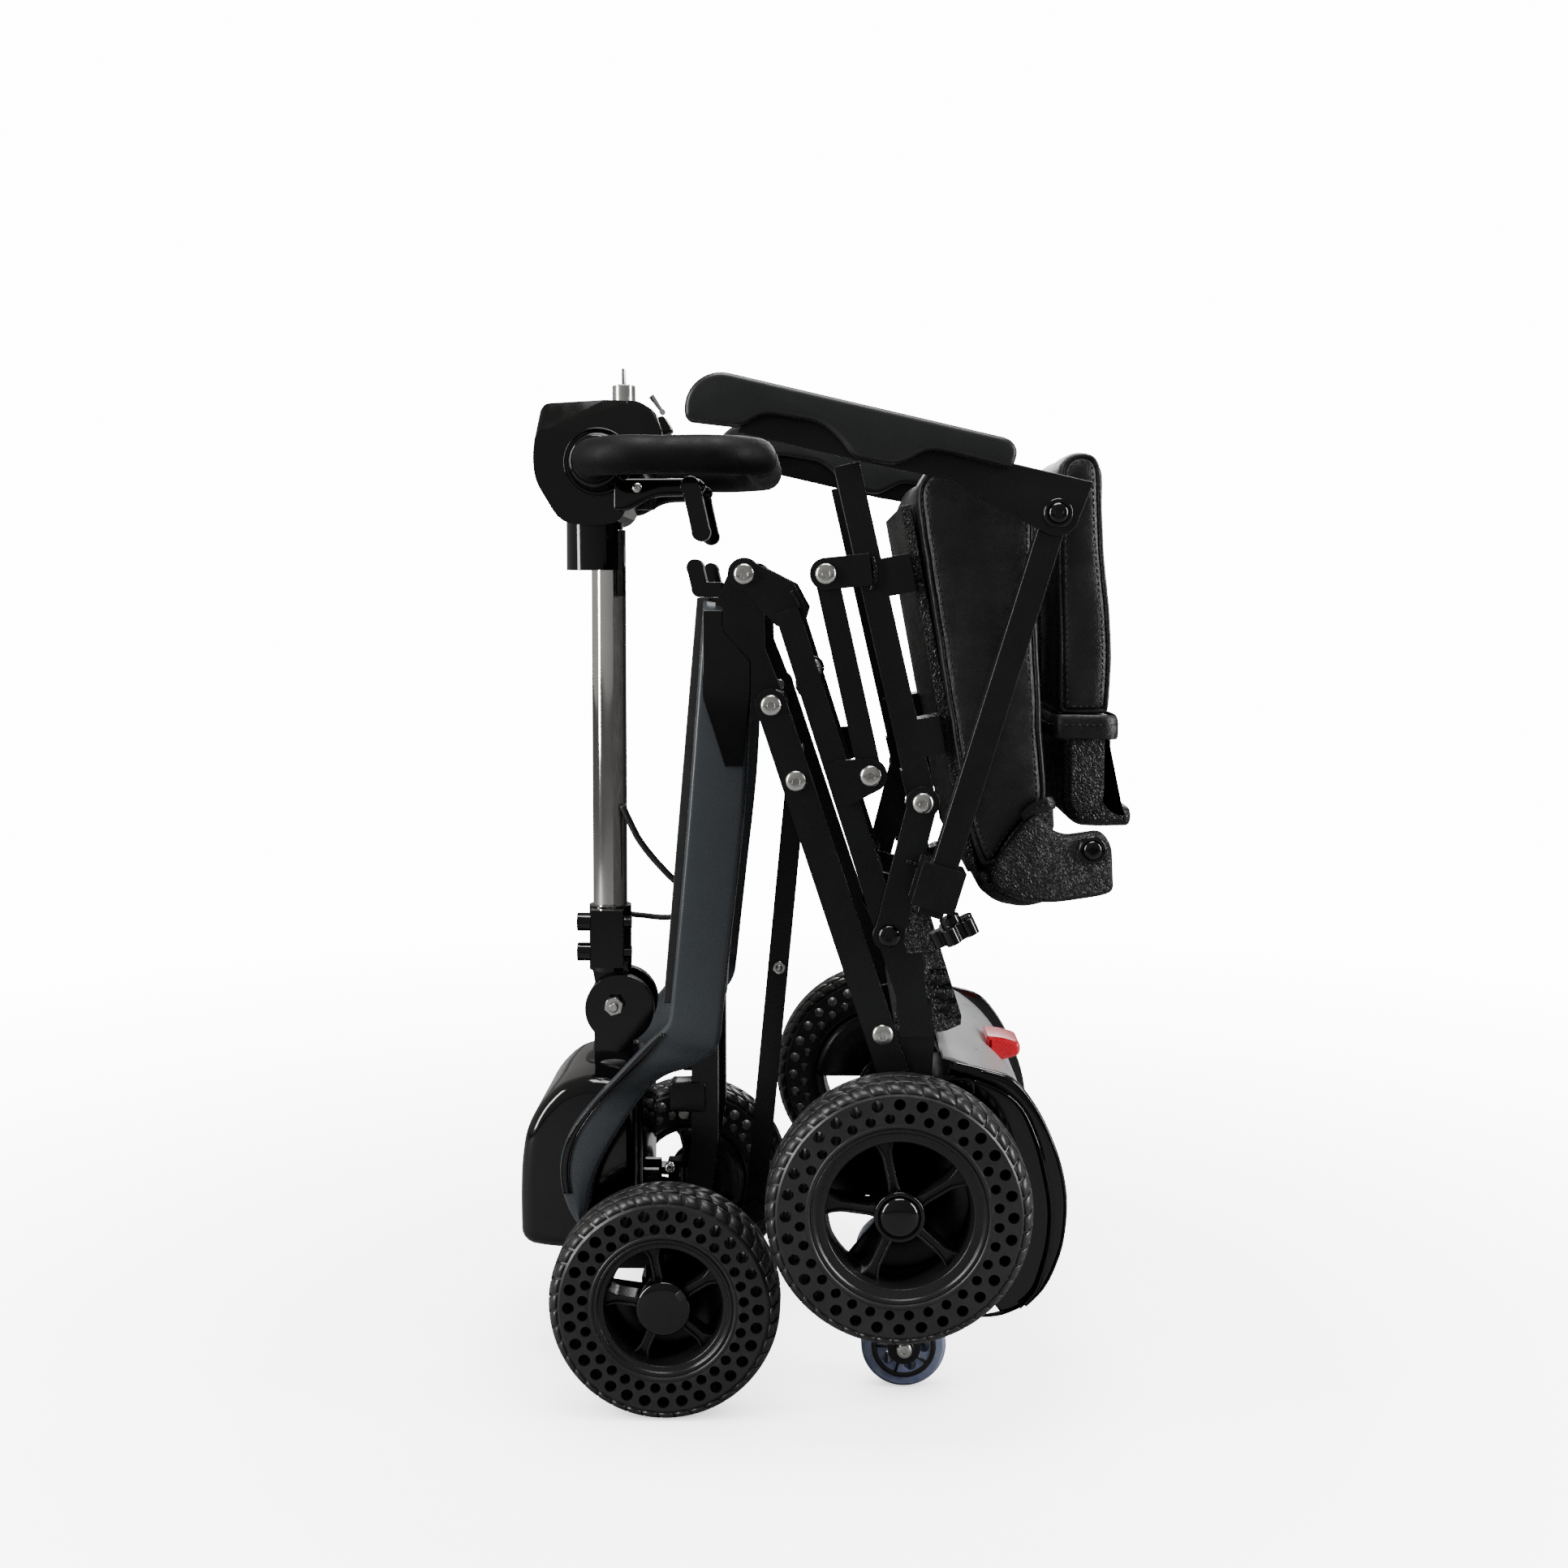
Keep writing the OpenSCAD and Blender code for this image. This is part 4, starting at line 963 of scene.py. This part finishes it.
for tag, side in SIDES:
    line = [(x, side * (y + 0.25), z) for x, y, z in spline(parting, 2.0)]
    piece(f"head_seam_{tag}", *tube(line, 0.45, 6), "rim_plastic", "column")

# Indicator window and its frame on the sloping back of the head
tilt = Matrix.Rotation(math.radians(-32), 3, "Y")
INDICATOR = (  # name, half length, half height, corner, half width, edge, place, slot
    ("indicator_frame", 5, 8, 2.5, 13, 2.0, (-124.5, 0, 797), "black_gloss"),
    ("indicator_window", 3.4, 6, 2.0, 9, 1.4, (-122.4, 0, 797.9), "red_lens"))
for name, dx, dz, corner, half, edge, place, slot in INDICATOR:
    v, f = loft(rounded([(-dx, -dz), (dx, -dz), (dx, dz), (-dx, dz)], corner), -half, half, edge, 2.0, 3)
    window = piece(name, [tuple(Vector(place) + tilt @ Vector(q)) for q in v], f, slot, "column")
window.data.materials[0] = lens("indicator_amber", rgb(0.62, 0.68, 0.05))

knurl = [tube([(-138 + 8.7 * math.cos(a), -30 + 8.7 * math.sin(a), z) for z in (725.2, 731, 736.4)], 0.5, 5)
         for a in np.linspace(0, 2 * math.pi, 30, endpoint=False)]
piece("dial_knurling", *merge(*knurl), "rim_plastic", "dial")

# ---- front shroud
SHROUD = rounded([(-139, 98), (-213.5, 98.4), (-235.2, 101.7), (-242.4, 109.5), (-242.9, 144.1), (-241.9, 173.5),
                  (-238.1, 199.1), (-227.1, 221.1), (-208.9, 239.4), (-187.3, 246.2), (-176.5, 246.4), (-139, 241)],
                 [3, 12, 10, 10, 30, 30, 30, 30, 26, 20, 12, 6], 6)
piece("front_shroud_shell", *loft(SHROUD, -76, 76, 13, 5.0, 6, extra=2), "black_gloss", "front_frame",
      replaces=("front_shroud",))
boot = [(27, 238), (27.5, 245), (25.5, 248.5), (22.6, 250), (20.5, 253), (20.5, 256.5), (18.6, 258.5), (17.2, 258.5)]
rings = [[(*polar((-168, 0), r, 360 * k / 64), z) for k in range(64)] for r, z in boot]
piece("steering_boot", *skin(rings, False), "cable_sheath", "front_frame")

# ---- seat corners and backrest shell
CORNER = rounded([(178, 483.6), (191, 470), (201, 467), (228, 471), (236, 459), (237.6, 423), (226, 419.5),
                  (190, 414), (165, 416), (146, 425), (140, 434), (146, 448), (158, 462), (168, 476)],
                 [5, 8, 10, 8, 8, 7, 6, 14, 14, 10, 10, 14, 16, 8], 6)
for tag, side in SIDES:
    piece(f"hinge_corner_cover_{tag}", *slab(CORNER, side, 172, 186.6, 4.5, 2.5, 6), "grained_plastic", "seat",
          replaces=("hinge_corners",))
belly = rounded([(131, 431), (135, 423), (148, 412.5), (170, 408.5), (188, 413), (192, 424), (190, 432), (150, 437),
                 (136, 437)], 8, 5)
v, f = loft(belly, -176, 176, 8, 3.0, 5, extra=6)
piece("seat_front_rail_cover", v, f, "grained_plastic", "seat")
for tag, side in SIDES:
    rim = resample([(x, z) for x, _, z in side_seam(CORNER, 0, 3.2)], 3.0)
    piece(f"hinge_corner_rim_{tag}", *tube([(x, side * 183.2, z) for x, z in rim], 0.9, 6, True), "black_gloss", "seat")

for tag, side in SIDES:
    flap = spline([(168, side * 179.0, 478), (174, side * 180.8, 484), (181, side * 181.2, 488.5),
                   (188.5, side * 180.8, 491), (192.5, side * 176, 491.5)], 2.0)
    strip = []
    for q in flap:
        strip += [(q[0] + dx, q[1] + side * dy, q[2] + dz)
                  for dx, dy, dz in ((-2.6, 0, 5.0), (-0.4, 1.2, 1.4), (0.8, 1.0, -3.2), (0.6, -1.4, -5.0))]
    f = [(i * 4 + m, (i + 1) * 4 + m, (i + 1) * 4 + m + 1, i * 4 + m + 1) for i in range(len(flap) - 1)
         for m in range(3)]
    piece(f"seat_hem_{tag}", strip, f, "black_leather", "seat")
    stitches(f"seat_hem_stitches_{tag}", [(q[0] - 0.2, q[1] + side * 1.5, q[2] + 1.2) for q in flap], "seat",
             "rim_plastic", 3.0, 1.8, 0.4)

SHELL_SECTION = rounded([(200, 558), (238, 558), (238.2, 492), (243, 487.5), (253, 487), (254.5, 479), (253, 471.5),
                         (225, 471), (212, 472), (204, 478), (200, 488)], [3, 3, 14, 6, 5, 5, 5, 6, 8, 8, 8], 6)
v, f = loft(SHELL_SECTION, -165, 165, 7, 3.0, 6, extra=8)
piece("backrest_shell_panel", v, f, "grained_plastic", "back", replaces=("backrest_shell",))
for tag, side in SIDES:
    outline = rounded([(205, 556), (232.5, 556), (232, 494), (224, 482), (209, 482), (205, 490)], 5, 5)
    piece(f"backrest_side_panel_{tag}", *slab(outline, side, 160.5, 168.6, 2.2, 3.0, 4), "grained_plastic", "back")

# ---- side covers, rear guards and small fittings
COVER = [  # left x, left z, right x, right z, inner y, outer y, from the top down to the hooked foot
    (-81.7, 647.6, -40.8, 641.3, 128, 148.5), (-87.7, 564.4, -44.7, 564.4, 128, 148.5), (-94.3, 480.6, -49.3, 480.7,
        128, 148.5),
    (-101.7, 396.3, -58.4, 396.4, 128, 148.5), (-107.5, 335, -65.2, 335, 128, 148.5), (-110.5, 312, -68.6, 303, 127,
        147.5),
    (-117, 301.5, -71, 290, 124, 144), (-128, 290, -79, 279.5, 117, 137), (-142, 274.3, -92, 269.8, 108, 130),
    (-157.6, 255.7, -112, 261.2, 98, 120), (-172, 239.5, -127, 249.5, 90, 112), (-186, 222.5, -141, 231.5, 85, 107.5),
    (-197, 206, -154.3, 211.3, 82.5, 106.2), (-203.2, 188, -166, 191.5, 82, 106), (-204.3, 172, -174, 174, 82, 106),
    (-202.2, 157.5, -178.8, 158, 82, 106), (-197, 142.5, -181.3, 144, 82, 106),
    (-191.5, 133.5, -184.5, 133, 82, 106), (-188.5, 130.5, -186.5, 130, 82, 106)]
GUARD = [  # the same, round behind the rear wheel
    (115.2, 281.6, 113, 271, 146, 155), (139.7, 275.9, 133, 266, 146, 155), (164.2, 268.2, 152, 258, 146, 155),
    (183, 246, 169.5, 244, 146, 155), (196.7, 218.6, 181.9, 217, 146, 155), (205.3, 191.1, 189, 190, 146, 155),
    (208.1, 166, 193.2, 164, 146, 155), (205.7, 138.5, 192.4, 137, 146, 155), (198.8, 116.7, 187.6, 114, 146, 155),
    (189.2, 99.5, 181, 95, 146, 155), (175.7, 85.5, 170, 83.5, 147, 154), (157, 76.1, 155, 79, 148, 153),
    (140.8, 73.9, 140, 76, 149, 152)]
for tag, side in SIDES:
    piece(f"side_cover_skin_{tag}", *plank(COVER, side, 4.5, 0.9), "charcoal_cover", "deck",
          replaces=(f"side_cover_{tag}",))
    edge = between(COVER[6:16])
    strip, lines = [], [[], []]
    for k, (lx, lz, rx, rz, y0, y1) in enumerate(edge):
        width = math.hypot(rx - lx, rz - lz)
        wide = 5.2 * min(1.0, 0.15 + k / 8)

        def at(d, y):
            return (lx + (rx - lx) * d / width, side * y, lz + (rz - lz) * d / width)

        profile = ((0.6, -5.0), (1.2, -1.2), (2.6, 0.1), (2.6 + wide, 0.3), (3.2 + wide, -1.0))
        strip.append([at(d, y1 + dy) for d, dy in profile])
        lines[0].append(at(2.0, y1 - 0.1))
        lines[1].append(at(2.7 + wide, y1 + 0.2))
    piece(f"side_cover_trim_{tag}", *merge(skin(strip), tube(lines[0], 0.6, 8), tube(lines[1], 0.6, 8)), "black_gloss",
          "deck")
    bars = ([(84, 255), (134, 255), (134, 269), (84, 269)], [(72, 144), (156, 106), (163, 118), (79, 156)])
    brackets = [slab(rounded(bar, 3), side, 147, 154, 1.2) for bar in bars]
    piece(f"rear_guard_{tag}", *merge(plank(GUARD, side, 2.4, 0.8), *brackets), "black_gloss", "rear_frame",
          replaces=("cover_flange",))
    web = [(g[2], g[3], g[2] + (75 - g[2]) * 0.3, g[3] + (182 - g[3]) * 0.3, 147.5, 150.5) for g in GUARD[1:12]]
    piece(f"rear_guard_web_{tag}", *plank(web, side, 0.8, 0.2), "black_gloss", "rear_frame")
    band = between(GUARD[1:11])
    for k in range(2):  # a bead along each long edge
        x, far_x = 2 * k, 2 - 2 * k
        row = [(g[x] + (g[far_x] - g[x]) * 0.12, side * 155.0, g[x + 1] + (g[far_x + 1] - g[x + 1]) * 0.12)
               for g in band]
        piece(f"rear_guard_roll_{k + 1}_{tag}", *tube(row, 1.0, 8), "black_gloss", "rear_frame")
    socket_bolt(f"fender_bolt_{tag}", (-115, 171.4), 78.0, side, 4.6, "bolt_steel", "front_frame", 3.0, 1.8)
    block = rounded([(-115.4, 218), (-84.8, 218), (-84.7, 243.4), (-115.3, 243.4)], 2.5)
    piece(f"rail_block_{tag}", *slab(block, side, 55, 77, 1.6), "black_satin", "deck")
    slots = []
    for k in range(3):
        dx, z = 4 * k, 338 - 11 * k
        outline = [(100 + dx, z), (112 + dx, z), (111 + dx, z - 5), (100 + dx, z - 5)]
        slots.append(slab(rounded(outline, 1.2), side, 106, 109, 0.8, 2.0, 2))
    piece(f"battery_vents_{tag}", *merge(*slots), "black_satin", "rear_frame")
capsule = rounded([(155, 270.2), (171, 268.4), (183.5, 264.6), (185, 259.4), (183.5, 253.2), (171, 249), (155, 247)],
                  [2, 8, 6, 6, 6, 8, 2], 5)
piece("reflector_lens", *loft(capsule, -22, 22, 4.5, 2.0, 6), "red_lens", "rear_frame", replaces=("tail_reflector",))


def hexagon(centre, radius):
    return [polar(centre, radius, 60 * k + 18) for k in range(6)]


for tag, side in SIDES:
    centre = PIVOTS["tilt_pivot"]
    thread = capped([(4.2, 24), (4.2, 35), (3.4, 36), (0.5, 36)], centre, side, 32)
    nut = merge(slab(hexagon(centre, 8.6), side, 24, 31.5, 0.8, 2.0), thread)
    soften(piece(f"tilt_nut_{tag}", *nut, "bolt_steel", "steering"), 0.3, 2, 40.0)
centre = (-24.7, 327.6)
thread = capped([(3, 10), (3, 17), (2.4, 17.6), (0.5, 17.6)], centre, -1, 24)
piece("strut_nut", *merge(loft(hexagon(centre, 6.2), -14.5, -10.2, 0.6, 2.0, 3), thread), "bolt_steel", "strut")

# ---- cables between the column and the deck
# Name, route with both ends run into the parts, radius
CABLES = (("tiller_cable", [(-161, -11, 469), (-156, -11, 458), (-147, -11, 440), (-136, -11, 425),
                           (-126, -12, 414), (-117, -12, 405), (-107, -12, 398)], 3.0),
          ("battery_cable", [(-160, 3, 372), (-152, 3, 371), (-142, 3, 370), (-132, 2, 369),
                            (-122, 1, 369), (-112.5, 0, 370), (-106, 0, 371)], 2.5))
for name, route, radius in CABLES:
    line = spline(route, 3.0)
    cable = piece(name, *tube(line, radius, 14), "cable_sheath", "deck", replaces=("control_cables",))
    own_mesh(cable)

# ---- weld beads
rng = random.Random(11)


def weld(name, path, body, radius, closed=False):
    """A rippled bead along a joint between two tubes."""
    line = spline(list(path) + ([path[0]] if closed else []), 1.1)
    verts, faces = tube(line, 1.0, 8)
    rows = []
    for i, q in enumerate(line):
        swell = radius * (1.0 + 0.13 * math.sin(i * 2.1) + rng.uniform(-0.05, 0.05))
        for m in range(8):
            p = Vector(verts[i * 8 + m]) - Vector(q)
            rows.append(tuple(Vector(q) + p * swell))
    piece(name, rows, faces, "black_satin", body)


def ring_path(cx, cz, y, r, n=20):
    return [(x, y, z) for x, z in (polar((cx, cz), r, 360 * k / n) for k in range(n))]


for tag, side in SIDES:
    for k, (cx, cz) in enumerate(((3, 582), (56.5, 412))):
        weld(f"beam_cross_weld_{k + 1}_{tag}", ring_path(cx, cz, side * 150.4, 10.0), "rear_frame", 2.0, True)
    weld(f"beam_plate_weld_{tag}", [(-12, side * 157.6, 655), (-6, side * 157.8, 646), (-3, side * 157.8, 634)],
         "rear_frame", 1.3)
    weld(f"axle_weld_{tag}", ring_path(*REAR_WHEEL, side * 155.0, 20.8, 32), "rear_frame", 1.6, True)
    weld(f"brace_plate_weld_{tag}", [(50.5, side * 172.4, 656), (53.5, side * 172.6, 668), (50.5, side * 172.4, 682)],
         "seat", 2.2)
    weld(f"socket_weld_{tag}", [(78, side * 178.2, 446), (92, side * 178.4, 440), (106, side * 178.2, 430)], "rocker",
         2.0)

# ---- stage, light and camera
WHITE = (0.985, 0.99, 1.0, 1)
FLOOR_GLOW, BACKDROP = 5.0, 15.0


def floor_material(near, back):
    """Pale floor; the camera sees it fade into the white background, with a painted contact shadow where ambient
    occlusion darkens its glow near the scooter.
    """
    g = Graph("pale_floor")
    seen = g.node("ShaderNodeLightPath").outputs["Is Camera Ray"]
    pale = g.ramp(g.noise(2.0, 2.0), 0.3, 0.7, rgb(0.845), rgb(0.86))
    g.set(Base_Color=g.mix(seen, rgb(0.2), pale), Roughness=0.85)
    away = g.node("ShaderNodeVectorMath", operation="LENGTH")
    g.link(g.coord, away.inputs[0])
    fade = g.node("ShaderNodeMath", operation="MULTIPLY")
    g.link(seen, fade.inputs[0])
    g.link(g.span(away.outputs["Value"], 0.45, 1.9, 0.0, 1.0), fade.inputs[1])
    lift = g.node("ShaderNodeEmission")
    # Painted shadow: ambient occlusion darkens the floor's glow under and beside the scooter into a contact shadow.
    under = g.node("ShaderNodeAmbientOcclusion", distance=0.16)
    g.link(g.ramp(under.outputs["AO"], 0.0, 0.95, rgb(0.1), rgb(1.0)), lift.inputs["Color"])
    g.link(g.span(seen, 0.0, 1.0, 0.0, near), lift.inputs["Strength"])
    bright = g.node("ShaderNodeAddShader")
    g.link(g.shader.outputs[0], bright.inputs[0])
    g.link(lift.outputs[0], bright.inputs[1])
    sky = g.node("ShaderNodeEmission")
    sky.inputs["Color"].default_value = WHITE
    sky.inputs["Strength"].default_value = back
    both = g.node("ShaderNodeMixShader")
    g.link(fade.outputs[0], both.inputs[0])
    g.link(bright.outputs[0], both.inputs[1])
    g.link(sky.outputs[0], both.inputs[2])
    g.link(both.outputs[0], g.tree.nodes["Material Output"].inputs["Surface"])
    return g.mat


data = bpy.data.meshes.new("floor")
data.from_pydata([(-9, -9, 0), (9, -9, 0), (9, 9, 0), (-9, 9, 0)], [], [(0, 1, 2, 3)])
floor = bpy.data.objects.new("floor", data)
bpy.context.scene.collection.objects.link(floor)
data.materials.append(floor_material(FLOOR_GLOW, BACKDROP))

world = bpy.data.worlds.new("studio")
bpy.context.scene.world = world
world.use_nodes = True
new, join = world.node_tree.nodes.new, world.node_tree.links.new
# What the shiny parts mirror: warm grey at the left that falls to a darker, cooler grey at the right
LEFT_GREY, RIGHT_GREY = (0.72, 0.7, 0.67, 1), (0.34, 0.34, 0.35, 1)
split = new("ShaderNodeSeparateXYZ")
join(new("ShaderNodeTexCoord").outputs["Generated"], split.inputs[0])
across = new("ShaderNodeMapRange")
across.inputs["From Min"].default_value = -1.0
join(split.outputs["X"], across.inputs["Value"])
fall = new("ShaderNodeValToRGB")
join(across.outputs["Result"], fall.inputs["Fac"])
fall.color_ramp.elements[0].color, fall.color_ramp.elements[1].color = LEFT_GREY, RIGHT_GREY
lit = world.node_tree.nodes["Background"]
lit.inputs["Strength"].default_value = 0.5
join(fall.outputs["Color"], lit.inputs["Color"])
# What the camera sees behind everything: plain white
backdrop = new("ShaderNodeBackground")
backdrop.inputs["Color"].default_value, backdrop.inputs["Strength"].default_value = WHITE, BACKDROP
choose = new("ShaderNodeMixShader")
join(new("ShaderNodeLightPath").outputs["Is Camera Ray"], choose.inputs[0])
join(lit.outputs[0], choose.inputs[1])
join(backdrop.outputs[0], choose.inputs[2])
join(choose.outputs[0], world.node_tree.nodes["World Output"].inputs["Surface"])


def area(name, place, look, size, power, size_y):
    """A rectangular lamp at place, turned to look at a point, in metres and watts."""
    lamp = bpy.data.lights.new(name, "AREA")
    lamp.shape = "RECTANGLE"
    lamp.size, lamp.size_y, lamp.energy = size, size_y, power
    ob = bpy.data.objects.new(name, lamp)
    ob.location = place
    ob.rotation_mode = "QUATERNION"
    ob.rotation_quaternion = (Vector(look) - Vector(place)).to_track_quat("-Z", "Y")
    bpy.context.scene.collection.objects.link(ob)


area("top_softbox", (0.1, -0.3, 2.6), (0, 0, 0.3), 1.4, 62, 0.9)
area("left_window", (-2.3, -1.1, 1.2), (0, 0, 0.45), 0.45, 80, 1.9)
area("right_strip", (2.4, -0.7, 1.1), (0, 0, 0.45), 0.35, 75, 1.8)
area("back_rim", (0.4, 2.4, 1.6), (0, 0, 0.5), 1.6, 45, 1.0)

cam_data = bpy.data.cameras.new("camera")
cam_data.sensor_width, cam_data.lens = 36.0, 42.195
cam_data.shift_y = -0.0631
cam_data.clip_start, cam_data.clip_end = 0.05, 60
camera = bpy.data.objects.new("camera", cam_data)
camera.location = (0.010, -1.5974, 0.657)
yaw, pitch = math.radians(1.1), math.radians(3.0)
aim = Vector((-math.sin(yaw) * math.cos(pitch), math.cos(yaw) * math.cos(pitch), -math.sin(pitch)))
camera.rotation_mode = "QUATERNION"
camera.rotation_quaternion = aim.to_track_quat("-Z", "Y")
bpy.context.scene.collection.objects.link(camera)
bpy.context.scene.camera = camera
